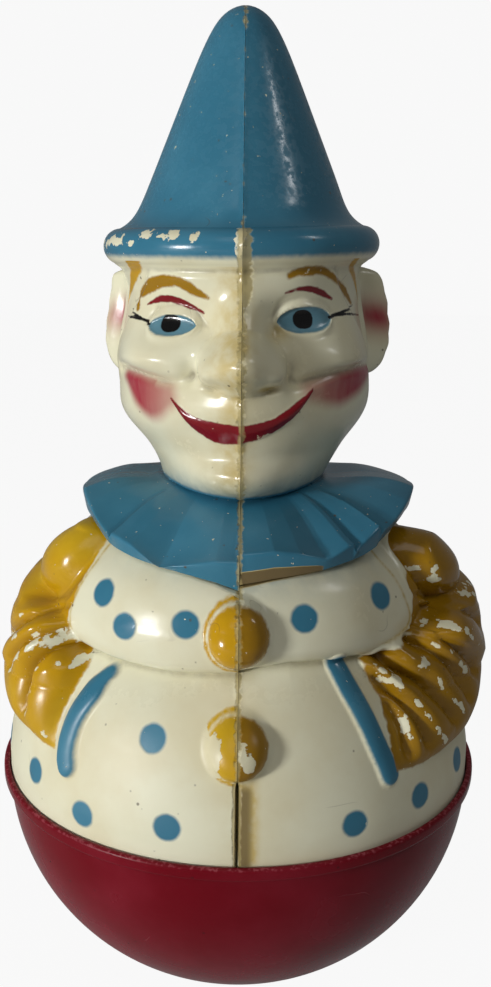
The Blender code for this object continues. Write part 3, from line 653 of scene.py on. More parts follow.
# Each form is a soft bump: rise, degrees from the front, height, half width and half height.
FACE_FORMS = {
    "ball of the nose": (5.0, 0, 170.8, 6.8, 5.6),
    "bridge of the nose": (3.4, 0, 179.0, 5.2, 7.0),
    "wing of the nose": (2.5, 14.0, 168.4, 2.8, 2.7),
    "groove beside the nose": (-2.1, 20.0, 168.8, 2.5, 3.2),
    "nostril": (-1.5, 10.5, 165.4, 2.8, 0.9),
    "hollow beside the bridge": (-1.2, 12.5, 177.0, 2.6, 4.0),
    "brow": (0.9, 24, 188.0, 11.0, 3.4),
    "upper lip": (2.8, 0, 160.0, 13.0, 5.4),
    "hollow over the chin": (-1.3, 0, 149.8, 12.5, 2.0),
    "chin": (7.2, 0, 145.2, 14.0, 6.2),
}


def eye_opening(side):
    """How far inside the almond of the eye each place lies, in millimetres."""
    at_degrees, at_height, half_length, half_height, tilt = EYES[side]
    along = (degrees - at_degrees) * mm_per_degree
    above = height - at_height - tilt * along
    share = np.abs(along / half_length)
    lid = half_height * np.clip(1.0 - share**2.4, 0.0, 1.0) ** 0.7
    return 0.85 * (lid - np.abs(above)) - np.clip(share - 1.0, 0.0, None) * half_length


def lip_line(run):
    return np.vstack([run[0], smooth_run(run, 40)])[::-1]


def smile(side):
    """How far inside the painted lips each place lies."""
    upper = lip_line(SMILE_UPPER[side])
    lower = lip_line(SMILE_LOWER[side])
    top = np.interp(degrees, upper[:, 0], upper[:, 1])
    bottom = np.interp(degrees, lower[:, 0], lower[:, 1])
    inside = (top - bottom) / 2 - np.abs(height - (top + bottom) / 2)
    return np.minimum(inside, (upper[-1, 0] - degrees) * mm_per_degree) * 0.9


def ear_relief(side):
    above = (height - EAR_Z) / EAR_HALF_HEIGHT
    tall = np.sqrt(np.clip(1.0 - above**2, 0.0, 1.0))
    tall = np.where(above > 0.0, tall**0.6, tall**0.95)
    rim = (degrees - EAR_RIM_DEGREES - 2.0 * above) * mm_per_degree
    front = np.clip((rim + EAR_FRONT * tall) / (EAR_FRONT * tall + 1e-6), 0.0, 1.0) ** 1.1
    back = np.clip(1.0 - np.clip(rim, 0.0, None) / EAR_BACK, 0.0, 1.0) ** 0.9
    ear = EAR_RISES[side] * (1.0 + 0.22 * above) * tall * np.where(rim < 0.0, front, back)
    ear -= EAR_HOLLOWS[side] * soft(rim + 2.0, 1.1) * soft(above - 0.1, 0.6)
    ear += 0.6 * soft(rim + 0.6, 0.9) * tall
    return np.clip(ear, 0.0, None)


def head_relief(side):
    brim_foot = BRIM_Z - BRIM_ROLL
    on_head = (stretch == HEAD) * ease(brim_foot + 0.3, brim_foot - 2.5, height)
    rise = NOSE_RISE * dome(*NOSE, 0.9)
    for form_rise, *form_place in FACE_FORMS.values():
        rise += form_rise * bump(*form_place)
    apple_half_height = np.where(height < APPLE_Z, APPLE_BELOW, APPLE_ABOVE)
    rise += APPLE_RISE * bump(APPLE_DEGREES, APPLE_Z, APPLE_HALF_WIDTH, apple_half_height)
    fold, place = from_curve(CHEEK_FOLDS[side])
    fading = np.sin(np.pi * np.clip(place, 0, 1)) ** 0.5
    rise -= CHEEK_FOLD_DEPTH * soft(fold, CHEEK_FOLD_WIDTH) * fading
    eye_degrees, eye_height = EYES[side][:2]
    rise -= SOCKET_DEPTH * bump(eye_degrees - 2, eye_height + 0.4, 8.2, 4.6)
    eyeball = dome(eye_degrees, eye_height, 7.4, 4.6, 0.7)
    rise += (EYEBALL_RISE + EYE_OVERHANG * (height - eye_height)) * eyeball
    opening = eye_opening(side)
    rise += LID_RISE * soft(np.minimum(opening, 0.0), 0.9) * ease(0.25, -0.15, opening)
    rise -= 0.2 * soft(opening + 2.6, 0.7) * (height > eye_height)
    rise += MOUTH_RISE * np.clip(smile(side) / 1.6, 0.0, 1.0) ** 0.6
    rise *= ease(0.0, 0.3, np.cos(turn))
    edge = np.interp(height, MASK_EDGE_HEIGHTS, MASK_EDGE_DEGREES)
    behind_edge = (degrees - edge) * mm_per_degree
    rise += MASK_EDGE_RISE * ease(1.6, -0.8, behind_edge) * ease(143, 156, height)
    rise += ear_relief(side)
    rise -= 2.0 * ease(100, 135, degrees)
    strands = np.sin(degrees * 1.5 + 0.35 * (height - 180)) * np.sin(degrees * 0.47 + 1.0)
    rise += (0.9 + 0.55 * strands) * ease(-0.4, 0.8, hair(side))
    return rise * on_head


def hair(side):
    """How far inside the fringe at the back of the head each place lies."""
    ragged = 1.6 * np.sin(degrees * 0.6 + side) + 0.8 * np.sin(degrees * 1.7)
    inside = np.minimum((degrees - HAIR_DEGREES) * mm_per_degree, height - HAIR_Z - ragged)
    return np.where(stretch == HEAD, inside, NOWHERE)


# Collar: a pleated ruff that droops in front and behind. The tables give the heights of its crest and
# of the foot of its edge round each half, and a pleat shows as a dip in the crest.

COLLAR_EDGES = {
    -1: [
        (0, 128.1, 120.7), (7, 128.1, 122.5), (14, 127.1, 123.6), (20, 126.2, 124.3),
        (24.6, 125.4, 124.6), (26, 125.8, 124.9), (30, 127.4, 125.2), (35.5, 129.4, 125.7),
        (41, 130.4, 126.3), (45.2, 130.7, 126.8), (46.4, 129.3, 127.0), (48, 130.7, 127.3),
        (55, 133.0, 129.6), (62, 135.4, 131.2), (72, 137.4, 131.8), (90, 136.2, 131.5),
        (112, 136.0, 130.6), (134, 131.8, 127.4), (157, 130.4, 125.0), (180, 127.4, 124.0),
    ],
    1: [
        (0, 129.9, 122.1), (10, 130.5, 123.4), (18, 129.6, 124.0), (26, 128.0, 124.5),
        (28, 128.2, 124.8), (34, 130.2, 125.5), (36.1, 130.2, 125.7), (36.7, 128.1, 125.8),
        (38.6, 129.7, 126.0), (41, 130.8, 126.3), (47.3, 133.2, 127.6), (47.9, 131.1, 128.3),
        (50, 132.2, 129.0), (56, 133.6, 130.8), (66, 136.4, 133.0), (76, 138.4, 133.6),
        (94, 136.8, 132.8), (116, 136.4, 131.4), (138, 132.2, 127.6), (160, 130.4, 125.0),
        (180, 127.4, 124.0),
    ],
}
COLLAR_WIDENING = {-1: -1.7, 1: 2.0}
COLLAR_FRONT_SPREAD = 2.2
COLLAR_EDGE_LEAN = 0.9
UNDERSIDE_RISE = 0.85
NECK_DROOP = 3.0
NECK_DROOP_BEHIND = 2.2
TUCK_SINK = 0.3
WAIST_SHIFT_REACH = 5.5
WAIST_SHIFTS = {
    -1: [(0, -0.2), (18, -1.0), (36, -0.8), (60, 0)],
    1: [(0, 0.6), (14, 2.0), (30, 1.4), (46, 0)],
}
CHEST_RUN = OUTLINE[CHEST][::-1]


def chest_radius_at(level):
    return np.interp(level, CHEST_RUN[:, 1], CHEST_RUN[:, 0])


def collar_place(side):
    """How far the collar and the rows next to it spread outward and lift."""
    edges = np.array(COLLAR_EDGES[side], float)
    crest = np.interp(degrees, edges[:, 0], edges[:, 1]) - COLLAR_TOP
    foot = np.interp(degrees, edges[:, 0], edges[:, 2]) - COLLAR_LOW
    edge_rows = (stretch == COLLAR_EDGE) | (stretch == COLLAR_UNDER)
    out_share = ease(NECK_RADIUS, COLLAR_RADIUS, radius)
    down = np.clip((COLLAR_TOP - height) / (COLLAR_TOP - EDGE_FOOT), 0.0, 1.0)
    at_neck = -NECK_DROOP * ahead**1.5 - NECK_DROOP_BEHIND * (1.0 - ahead)
    lift = (stretch == HEAD) * at_neck * ease(158, NECK_Z, height)
    lift = np.where(stretch == COLLAR, at_neck + (crest - at_neck) * out_share, lift)
    lift = np.where(edge_rows, crest + (foot - crest) * down, lift)
    lift += (stretch == COLLAR_UNDER) * UNDERSIDE_RISE * (EDGE_FOOT - height)
    widening = COLLAR_WIDENING[side] * np.sin(turn) ** 2 + COLLAR_FRONT_SPREAD * ahead
    at_edge = edge_rows * (widening - COLLAR_EDGE_LEAN * down)
    spread = np.where(stretch == COLLAR, out_share * widening, at_edge)
    tuck = ease(EDGE_FOOT, TUCK_Z, height)
    meets = chest_radius_at(height + lift) - TUCK_SINK - radius
    spread = np.where(stretch == COLLAR_UNDER, spread + (meets - spread) * tuck**0.6, spread)
    last = np.where(stretch_of_row == COLLAR_UNDER)[0][-1]
    push = np.clip((height - CHEST_Z + 2.0) / (COLLAR_LOW - CHEST_Z - 1.0), 0.0, 1.0)
    push *= stretch == CHEST
    lift = np.where(stretch == CHEST, push * lift[last], lift)
    spread = np.where(push > 0.0, chest_radius_at(height + lift) - radius, spread)
    shifts = np.array(WAIST_SHIFTS[side], float)
    shift = np.interp(degrees, shifts[:, 0], shifts[:, 1])
    lift += shift * soft(height - WAIST_Z, WAIST_SHIFT_REACH) * on_body
    return spread, lift


SPREADS = {}
LIFTS = {}
LEVELS = {}
GIRTHS = {}
for side in (-1, 1):
    SPREADS[side], LIFTS[side] = collar_place(side)
    LEVELS[side] = height + LIFTS[side]
    GIRTHS[side] = (radius + SPREADS[side]) * math.pi / 180


# Arms: each sleeve gathers in rolls round the inside of the elbow, and ends at a cuff in a pocket.
# A crease between rolls is a curve, and the tables give reach and rise by the way round the elbow.

ELBOWS = {-1: (51.0, 106.5), 1: (56.0, 107.0)}
SLEEVE_EDGES = {
    -1: [
        (51.5, 133.0), (51.3, 125.4), (51.2, 122.4), (51.9, 119.4), (53.4, 115.6), (54.2, 111.9),
        (54.5, 107.5), (52.0, 104.0), (48.3, 102.0), (46.2, 99.3), (46.6, 95.4), (47.2, 91.5),
        (47.8, 88.0), (48.0, 84.5), (47.0, 80.5), (46.5, 74.0),
    ],
    1: [
        (50.0, 133.0), (50.5, 124.8), (52.2, 120.9), (53.9, 116.7), (55.1, 112.5), (55.2, 109.5),
        (52.0, 107.6), (44.0, 106.2), (38.0, 104.4), (35.0, 102.6), (36.3, 99.4), (38.0, 95.0),
        (38.0, 91.5), (37.8, 86.7), (37.1, 80.7), (37.0, 74.0),
    ],
}
SLEEVE_REACHES = {
    -1: [
        (-120, 27.5), (-95, 26.3), (-80, 26.5), (-67, 28.0), (-47, 29.0), (-20, 31.5), (10, 33.5),
        (40, 33.5),
    ],
    1: [
        (-165, 32), (-120, 32), (-110, 30.5), (-100, 29.3), (-88, 29), (-78, 29.5), (-53, 29.5),
        (-30, 31), (-8, 33.5), (40, 33.5),
    ],
}
SLEEVE_RISES = {
    -1: [(-115, 4.5), (-97, 6.0), (-70, 9.0), (-35, 11.6), (0, 9.8), (30, 6.2), (80, 4.0)],
    1: [
        (-165, 3.6), (-140, 4.8), (-113, 6.2), (-80, 9.2), (-35, 13.4), (0, 13.0), (30, 10.8),
        (80, 5.5),
    ],
}
GATHERS = {
    -1: [
        [(52.0, 119.8), (56.6, 114.6), (61.5, 112.2), (66.0, 111.0), (73.0, 110.6)],
        [(55.1, 111.4), (58.5, 110.4), (62.0, 108.8), (66.5, 105.5), (72.0, 101.8), (79.0, 97.5)],
        [(51.8, 105.5), (54.6, 106.0), (56.5, 105.9), (59.5, 103.6), (65.0, 98.7), (67.4, 93.8)],
        [
            (50.4, 102.0), (53.3, 102.3), (55.0, 101.0), (57.2, 97.5), (57.9, 93.8), (57.7, 88.7),
            (57.8, 85.6),
        ],
    ],
    1: [
        [(57.6, 118.6), (58.7, 115.9), (61.2, 113.8), (71.9, 111.0), (76.0, 111.2)],
        [(59.5, 110.9), (66.0, 110.2), (72.0, 107.6), (78.0, 102.5)],
        [(56.7, 107.5), (58.2, 105.0), (62.5, 101.2), (67.6, 96.5), (69.5, 92.0)],
        [(52.6, 105.6), (55.8, 102.1), (60.0, 97.5), (63.5, 90.6), (64.2, 87.0)],
        [(42.9, 102.6), (45.0, 99.9), (50.1, 96.2), (52.7, 92.4), (56.6, 86.2), (57.2, 84.0)],
        [(38.9, 97.7), (42.3, 94.3), (44.6, 91.0), (46.3, 86.6), (48.6, 81.0)],
        [(40.0, 92.5), (41.1, 89.2), (41.4, 84.9), (41.9, 80.5)],
    ],
}
OUTWARD_SQUASH = 0.82
ROLL_WIDTH = 8.0
GATHER_DEPTH = 4.4
GATHER_SHALLOWING = 1.4
GATHER_WIDTH = 1.5
CREASE_SHADE_WIDTH = 0.8
SLEEVE_SINK = 0.2
SLEEVE_EDGE_WIDTH = 3.0
SHOULDER_TILT = 50.0
SHOULDER_FOLD = 0.66
SHOULDERS = {-1: (13.5, 13.5, 14.5, 9.0, 3.4), 1: (15.5, 9.6, 14.5, 8.7, 8.0)}


def round_edge(inside, width):
    """A quarter round: 0 on the edge, rising to 1 at a given way inside it."""
    return np.sqrt(1.0 - (1.0 - np.clip(inside / width, 0.0, 1.0)) ** 2)


def inside_sleeve_edge(side):
    """How far each place lies outward of the line where the sleeve meets the chest and the pocket."""
    apart = from_curve(SLEEVE_EDGES[side], LEVELS[side], GIRTHS[side], 110)[0]
    edge = np.array(SLEEVE_EDGES[side])[::-1]
    return np.where(degrees > np.interp(LEVELS[side], edge[:, 1], edge[:, 0]), apart, -apart)


def sleeve_relief(side):
    elbow_degrees, elbow_height = ELBOWS[side]
    outward = np.radians(degrees - elbow_degrees) * CHEST_RADIUS
    outward = np.where(outward > 0.0, OUTWARD_SQUASH * outward, outward)
    upward = LEVELS[side] - elbow_height
    fan = np.degrees(np.arctan2(upward, outward))
    fan = np.where(fan > 150, fan - 360, fan)
    reaches = np.array(SLEEVE_REACHES[side], float)
    rises = np.array(SLEEVE_RISES[side], float)
    share = np.hypot(outward, upward) / np.interp(fan, reaches[:, 0], reaches[:, 1])
    rise = np.interp(fan, rises[:, 0], rises[:, 1])
    inside = inside_sleeve_edge(side)
    outer = np.clip(1.0 - (np.clip(share - 0.45, 0.0, None) / 0.55) ** 2, 0.0, 1.0) ** 0.75
    rolls = rise * outer * round_edge(inside, ROLL_WIDTH) * ease(34, 12, fan)
    groove = np.zeros(radius.shape)
    crease_shade = np.zeros(radius.shape)
    for curve in GATHERS[side]:
        apart, place = from_curve(curve, LEVELS[side], GIRTHS[side])
        fading = ease(1.08, 0.85, place)
        depth = GATHER_DEPTH - GATHER_SHALLOWING * place
        groove = np.maximum(groove, depth * np.exp(-apart / GATHER_WIDTH) * fading)
        # Painted shade: a narrow band along each crease, which darkens the yellow there.
        crease_shade = np.maximum(crease_shade, np.exp(-apart / CREASE_SHADE_WIDTH) * fading)
    out_place, up_place, out_half, up_half, puff_rise = SHOULDERS[side]
    tilt = np.radians(SHOULDER_TILT)
    along = (outward - out_place) * np.cos(tilt) - (upward - up_place) * np.sin(tilt)
    over = (outward - out_place) * np.sin(tilt) + (upward - up_place) * np.cos(tilt)
    egg = 1.0 - (along / out_half) ** 2 - (over / up_half) ** 2
    puff = puff_rise * np.clip(egg, 0.0, 1.0) ** 0.5
    fold = SHOULDER_FOLD * puff_rise * soft(egg + 0.62, 0.36)
    fold *= ease(4.0, -4.0, over) * ease(-1, 7, outward) * ease(106, 98, degrees)
    sleeve = larger(larger(rolls, puff), fold) - SLEEVE_SINK
    sleeve -= groove * ease(0.3, 2.5, sleeve)
    waist_levels = (WAIST_Z - 8.0, CHEST_Z - 3.6)
    across_waist = np.interp(height, waist_levels, (BALL_RADIUS * 0.85, CHEST_RADIUS + 0.2))
    sleeve += np.clip(across_waist - radius, 0.0, None) * ease(0.5, 4.0, sleeve) * on_body
    sleeve *= round_edge(inside, SLEEVE_EDGE_WIDTH) * ease(TUCK_Z, TUCK_Z - 1.5, height) * on_body
    sleeve = np.clip(sleeve, 0.0, None)
    painted = np.maximum((1.0 - share) * 25.0, (sleeve - 0.8) * 1.3)
    return sleeve, inside, painted, crease_shade


# Pocket welts, coat buttons and the bead of cement along the seam. A button is a dome on a low skirt,
# and the left half's welt is rounder than the right's.

WELTS = {
    -1: [
        (37.0, 99.6), (38.3, 98.3), (41.0, 93.4), (42.6, 89.3), (43.0, 84.6), (42.4, 80.5),
        (41.6, 78.8),
    ],
    1: [
        (27.9, 103.4), (29.5, 99.1), (31.1, 95.2), (32.6, 90.7), (33.8, 86.1), (35.1, 81.7),
        (35.7, 79.3),
    ],
}
WELT_HALF_WIDTHS = {-1: 2.85, 1: 2.55}
WELT_TOP_WIDTHS = {-1: 0.55, 1: 0.95}
WELT_RISES = {-1: (1.9, 0.5), 1: (1.3, 0.35)}
BUTTONS = ((112.3, 7.2), (88.9, 6.4))
BUTTON_HALF_WIDTH = 6.6
BUTTON_SKIRT = 1.27
UPPER_BUTTON_BASE = 48.8
BUTTON_RISE = 5.2
SKIRT_RISE = 1.1
BUTTON_LEVELLING = 0.7
SLIT_TOP = 83.5
SLIT_FULL_Z = 80.0
SLIT_HALF_WIDTH = 0.45
SLIT_REACH = 2.2
BEAD_RISE = 0.22
HAT_BEAD_RISE = 0.09
BEAD_HALF_WIDTH = 0.6
BEAD_WAVES = ((0.35, 0.83, 0.0), (0.3, 2.1, 1.0), (0.25, 5.3, 0.0))
KEEL_RISE = 1.5
KEEL_WIDTH = 6.0


def button_reach(button, side):
    """0 in the middle of a button, 1 on the edge of its dome, and more outside; it lies on both halves."""
    level, half_height = button
    across = (radius + SPREADS[side]) * np.sin(turn) / BUTTON_HALF_WIDTH
    reach = np.hypot(across, (LEVELS[side] - level) / half_height)
    return np.where(on_body & (degrees < 60), reach, 9.0)


def welt_place(side):
    """How far inside the welt each place lies, and the welt's rise there."""
    apart, place = from_curve(WELTS[side], LEVELS[side], GIRTHS[side])
    top_width = WELT_TOP_WIDTHS[side]
    half_width = WELT_HALF_WIDTHS[side] * (top_width + (1.0 - top_width) * ease(0.0, 0.25, place))
    rise, roundness = WELT_RISES[side]
    rise = rise * np.clip(1.0 - (apart / (half_width + 0.35)) ** 2, 0.0, 1.0) ** roundness
    return np.where(on_body, half_width - apart, NOWHERE), rise * on_body


def seam_bead():
    """The wavy bead of cement that was squeezed out along the seam."""
    waver = 1.0 + sum(size * np.sin(rate * height + start) for size, rate, start in BEAD_WAVES)
    across = radius * np.sin(turn)
    closed = 1.0 - ease(SLIT_TOP + 1.0, SLIT_TOP - 1.0, height) * (degrees < 90)
    tall = np.where(stretch == HAT, HAT_BEAD_RISE, BEAD_RISE) * ease(0.5, 6.0, radius)
    return tall * waver * soft(across, BEAD_HALF_WIDTH) * closed


BRIM_TILT = 1.4
BRIM_SLIMMING = 1.0


def figure_points(side, sleeve):
    """Every place of one half's outside, in millimetres."""
    lift = LIFTS[side].copy()
    out = radius + SPREADS[side] + head_relief(side)
    slimming = JAW_SLIMMING[side] * soft(height - JAW_SLIMMING_Z, 7.5)
    slimming += CHEEK_SLIMMING[side] * soft(height - CHEEK_SLIMMING_Z, 6.0)
    slimming *= np.sin(turn) ** 1.2
    near_neck = ease(COLLAR_RADIUS, NECK_RADIUS, radius)
    out -= slimming * np.where(stretch == COLLAR, near_neck, stretch == HEAD)
    body = out.copy()
    out += larger(sleeve, welt_place(side)[1]) - CREASE_BLEND / 2
    for button, seat in zip(BUTTONS, (UPPER_BUTTON_BASE, 0.0)):
        base = np.maximum(body, body + BUTTON_LEVELLING * (seat - body))
        reach = button_reach(button, side)
        skirt = np.clip((BUTTON_SKIRT - reach) / (BUTTON_SKIRT - 1.0), 0.0, 1.0) ** 2
        raised = base + 0.2 + BUTTON_RISE * np.sqrt(np.clip(1.0 - reach**2, 0.0, 1.0))
        spreading = body + (base + SKIRT_RISE - body) * skirt
        out = np.maximum(out, np.where(reach < 1.0, raised, spreading))
    keel = KEEL_RISE * np.exp(-radius * np.sin(turn) / KEEL_WIDTH)
    keel *= ease(0.0, 7.0, radius) * (stretch <= HEAD)
    out = np.maximum(np.where(radius > 0.01, out + keel + seam_bead(), 0.0), 0.0)
    over_brim = ease(BRIM_Z + 18, BRIM_Z + BRIM_ROLL, height) * (stretch == HAT)
    under_brim = ease(BRIM_Z - 12, BRIM_Z - BRIM_ROLL, height) * (stretch == HEAD)
    right_brim = ((stretch == BRIM) + over_brim + under_brim) * np.sin(turn) * (side > 0)
    lift += BRIM_TILT * right_brim
    out -= BRIM_SLIMMING * right_brim
    slit = SLIT_HALF_WIDTH * ease(SLIT_TOP, SLIT_FULL_Z, height)
    slit *= ease(SLIT_REACH, 0.0, radius * np.sin(turn)) * (degrees < 90)
    across = out * np.sin(turn) + SEAM_HALF_GAP * (degrees < 90) + slit
    return np.stack([side * across, -out * np.cos(turn), height + lift + SETTLE], axis=-1)


# Paint: blue hat, collar, dots and welts, yellow sleeves, buttons, brows and hair, red lips and eyelids.
# Each layer is a distance inside its edge in millimetres, kept on the mesh for the material.

DOT_RADIUS = 3.25
DOTS = {
    -1: [
        (41.7, 117.6), (31.9, 111.8), (14.1, 114.3), (20.0, 89.1), (53.3, 72.6), (35.4, 69.0),
        (14.6, 71.2), (78.0, 70.5), (105.0, 75.0), (118.0, 93.0), (135.0, 72.0), (150.0, 90.0),
        (165.0, 74.0), (128.0, 116.0), (152.0, 118.0), (172.0, 112.0),
    ],
    1: [
        (17.6, 115.6), (43.8, 117.2), (25.7, 70.3), (44.7, 71.0), (64.0, 71.8), (86.0, 71.0),
        (108.0, 74.0), (120.0, 92.0), (138.0, 73.0), (152.0, 91.0), (168.0, 73.0), (130.0, 117.0),
        (150.0, 114.0), (170.0, 119.0),
    ],
}
BROWS = {
    -1: (
        [
            (55.8, 182.1), (55.4, 185.3), (44.2, 187.7), (35.3, 188.7), (27.4, 188.5), (20.4, 186.7),
            (14.6, 185.2),
        ],
        (0.7, 1.5, 1.6, 1.4, 1.15, 1.25, 0.4),
    ),
    1: (
        [
            (19.5, 189.8), (24.0, 190.5), (30.9, 190.8), (37.4, 190.5), (43.7, 189.1), (55.6, 186.7),
            (64.2, 183.6),
        ],
        (0.6, 1.0, 0.9, 0.7, 0.7, 0.9, 0.5),
    ),
}
TEMPLE_STROKES = {
    -1: ([(46.0, 195.0), (54.0, 191.8), (67.0, 187.6), (80.0, 182.4)], (1.9, 1.5, 1.1, 0.4)),
    1: ([(53.0, 193.8), (60.0, 191.0), (73.0, 187.4), (84.5, 182.0)], (0.9, 0.8, 0.7, 0.3)),
}
LID_STROKES = {
    -1: (
        [(48.5, 183.2), (41.2, 184.4), (35.3, 184.7), (29.1, 184.2), (22.8, 183.0), (17.2, 181.8)],
        (0.2, 0.65, 0.85, 0.85, 0.65, 0.3),
    ),
    1: (
        [(18.5, 186.3), (23.4, 187.0), (29.6, 187.1), (36.7, 186.4), (44.4, 184.9)],
        (0.2, 0.45, 0.6, 0.65, 0.3),
    ),
}
LASHES = {
    -1: [[(43.8, 178.9), (52.7, 180.1), (65.4, 181.7)], [(45.4, 179.3), (55.4, 179.9), (71.8, 179.8)]],
    1: [[(41.8, 180.8), (50.1, 181.7), (66.3, 183.1)], [(41.8, 180.8), (53.3, 181.3), (81.0, 180.3)]],
}
LASH_WIDTHS = (0.36, 0.32, 0.16)
PUPILS = {-1: (32.8, 179.2, 2.45, 2.0), 1: (27.7, 180.5, 2.5, 2.15)}
ROUGES = {
    -1: ([(32.0, 162.6), (40.0, 161.6), (50.0, 163.4), (60.0, 166.2)], (2.6, 4.6, 3.6, 1.4)),
    1: ([(29.0, 164.5), (42.0, 164.4), (56.0, 165.6), (76.0, 167.6)], (2.0, 3.6, 2.8, 1.0)),
}
EAR_ROUGES = {-1: (92.5, 1.6, 3.8), 1: (94.4, 1.4, 4.4)}
CHIPS = {
    -1: [
        (34.4, 180.2, 0.7, 0.5), (66, 197.4, 8.0, 0.9), (84, 196.0, 3.0, 0.8), (32, 198.6, 5.0, 0.4),
        (0, 198.0, 0.9, 2.0), (7.0, 87.2, 4.0, 5.4), (55.5, 104.5, 2.7, 1.3), (61.5, 99.8, 1.0, 1.4),
        (48.2, 100.0, 1.7, 1.3), (77.5, 98.3, 0.8, 1.2), (50.3, 83.0, 0.9, 0.6),
    ],
    1: [
        (0, 198.4, 0.9, 2.0), (1.5, 88.6, 1.4, 3.0), (60.6, 107.9, 1.6, 0.8), (50.6, 100.8, 1.5, 1.4),
        (41.1, 98.5, 2.2, 1.4), (42.6, 97.4, 1.6, 1.0), (64.2, 117.8, 0.9, 0.8),
        (62.7, 120.3, 0.9, 0.5), (77.5, 110.8, 1.0, 0.7), (81.3, 112.0, 1.0, 1.2),
        (37, 190.6, 2.6, 0.6), (11, 154.4, 1.4, 0.4),
    ],
}
CHIP_LINES = {
    -1: [[(57.0, 92.8), (56.4, 88.5), (56.2, 85.5)], [(60.0, 101.0), (63.5, 97.0), (66.5, 93.5)]],
    1: [
        [(53.9, 97.4), (55.1, 94.0), (56.9, 90.9), (59.9, 87.0)],
        [(45.6, 93.7), (47.2, 91.9), (48.8, 87.8), (53.0, 82.1)],
        [(42.0, 89.2), (42.3, 86.5), (43.6, 83.2)],
        [(62.1, 108.0), (62.4, 105.6), (68.8, 100.4)],
        [(60.2, 101.5), (62.2, 98.1), (63.7, 95.1)],
    ],
}
CHIP_LINE_HALF_WIDTH = 0.8
CHIP_LINE_FALL = 1.8
PAINT_DEEP = 6.0
EAR_ROUGE_Z = 179.6


def stroke(points, half_widths):
    """How far inside a brush stroke each place lies."""
    apart, place = from_curve(points)
    return np.interp(place, np.linspace(0, 1, len(half_widths)), half_widths) - apart


def chips(side):
    """How far inside the nearest chip of the paint each place lies."""
    inside = np.full(radius.shape, NOWHERE)
    for at_degrees, at_height, half_width, half_height in CHIPS[side]:
        across = (degrees - at_degrees) * GIRTHS[side] / half_width
        reach = np.hypot(across, (LEVELS[side] - at_height) / half_height)
        inside = np.maximum(inside, (1.0 - reach) * min(half_width, half_height))
    for line in CHIP_LINES[side]:
        apart = from_curve(line, LEVELS[side], GIRTHS[side])[0]
        inside = np.maximum(inside, CHIP_LINE_HALF_WIDTH - CHIP_LINE_FALL * apart)
    return inside


def blue_paint(side):
    blue = np.where(stretch == HAT, PAINT_DEEP, -PAINT_DEEP)
    blue = np.where(stretch == BRIM, (height - BRIM_Z + 2.2) * 0.6, blue)
    blue = np.where(stretch == HEAD, NECK_Z + 0.8 - height, blue)
    blue = np.where(stretch == COLLAR, PAINT_DEEP, blue)
    bare = ease(COLLAR_TOP - 1.8, COLLAR_TOP - 2.6, height) * ease(29, 22, degrees) * (side > 0)
    blue = np.where(stretch == COLLAR_EDGE, 3.0 - 6.0 * bare, blue)
    under = (radius - COLLAR_RADIUS + 1.2) * 1.5 - 4.0 * bare
    blue = np.where(stretch == COLLAR_UNDER, under, blue)
    for at_degrees, at_height in DOTS[side]:
        apart = np.hypot((degrees - at_degrees) * GIRTHS[side], 1.07 * (LEVELS[side] - at_height))
        blue = np.where(on_body, np.maximum(blue, DOT_RADIUS - apart), blue)
    return np.maximum(blue, welt_place(side)[0])


BARE_ENDS = {
    -1: [
        (80, 0.1), (101, 0.1), (103.3, 0.2), (104.5, 0.8), (106.3, 0.8), (107.3, 0.15), (108.5, 0.9),
        (110.5, 0.9), (111.8, 0.15), (117, 0.4), (119, 0.5), (122, 0.8), (124, 1.5), (127, 1.8),
        (133, 2.0),
    ],
    1: [
        (80, 0.1), (100, 0.4), (102.3, 1.2), (103.2, 0.3), (104.2, 2.2), (106.2, 2.2), (107.1, 0.3),
        (107.6, 1.2), (108.8, 1.2), (110, 0.8), (112, 2.2), (114.5, 4.0), (116.5, 3.4), (119, 4.5),
        (121, 5.8), (125, 6.8), (133, 7.2),
    ],
}
BUTTON_PAINT = {-1: 1.2, 1: 0.98}


def yellow_paint(side, inside, painted):
    bare = np.array(BARE_ENDS[side], float)
    on_sleeve = np.minimum(painted, inside - np.interp(LEVELS[side], bare[:, 0], bare[:, 1]))
    yellow = np.where(on_body, on_sleeve, NOWHERE)
    for button in BUTTONS:
        reach = button_reach(button, side)
        ring = np.minimum(reach - 1.08, BUTTON_PAINT[side] - reach)
        yellow = np.maximum(yellow, np.maximum(1.0 - reach, ring) * BUTTON_HALF_WIDTH)
    on_head = np.maximum(stroke(*BROWS[side]), stroke(*TEMPLE_STROKES[side]))
    on_head = np.maximum(on_head, hair(side) * 0.9)
    under_brim = (stretch == HEAD) | ((stretch == BRIM) & (height < BRIM_Z - 2.9))
    return np.where(under_brim, np.maximum(yellow, on_head), yellow)


def face_marks(side):
    """Red, black, eye and rouge layers, in that order."""
    red = np.maximum(smile(side), stroke(*LID_STROKES[side]))
    at_degrees, at_height, half_width, half_height = PUPILS[side]
    across = np.abs(degrees - at_degrees) * mm_per_degree / half_width
    rounded = (across**2.3 + np.abs((height - at_height) / half_height) ** 2.3) ** (1 / 2.3)
    black = (1.0 - rounded) * half_height
    for lash in LASHES[side]:
        black = np.maximum(black, stroke(lash, LASH_WIDTHS))
    fold = np.array(CHEEK_FOLDS[side], float)
    below_fold = np.interp(degrees, fold[:, 0], fold[:, 1]) - height
    rouge = ease(-2.4, 1.6, stroke(*ROUGES[side])) * ease(-0.5, 0.7, below_fold)
    rouge *= np.interp(degrees, (28, 38, 50), (0.55, 0.8, 1.0))
    at_degrees, half_width, half_height = EAR_ROUGES[side]
    rouge = np.maximum(rouge, bump(at_degrees, EAR_ROUGE_Z, half_width, half_height))
    on_head = stretch == HEAD
    hidden = [np.where(on_head, layer, NOWHERE) for layer in (red, black, eye_opening(side))]
    return (*hidden, np.where(on_head, rouge, 0.0))


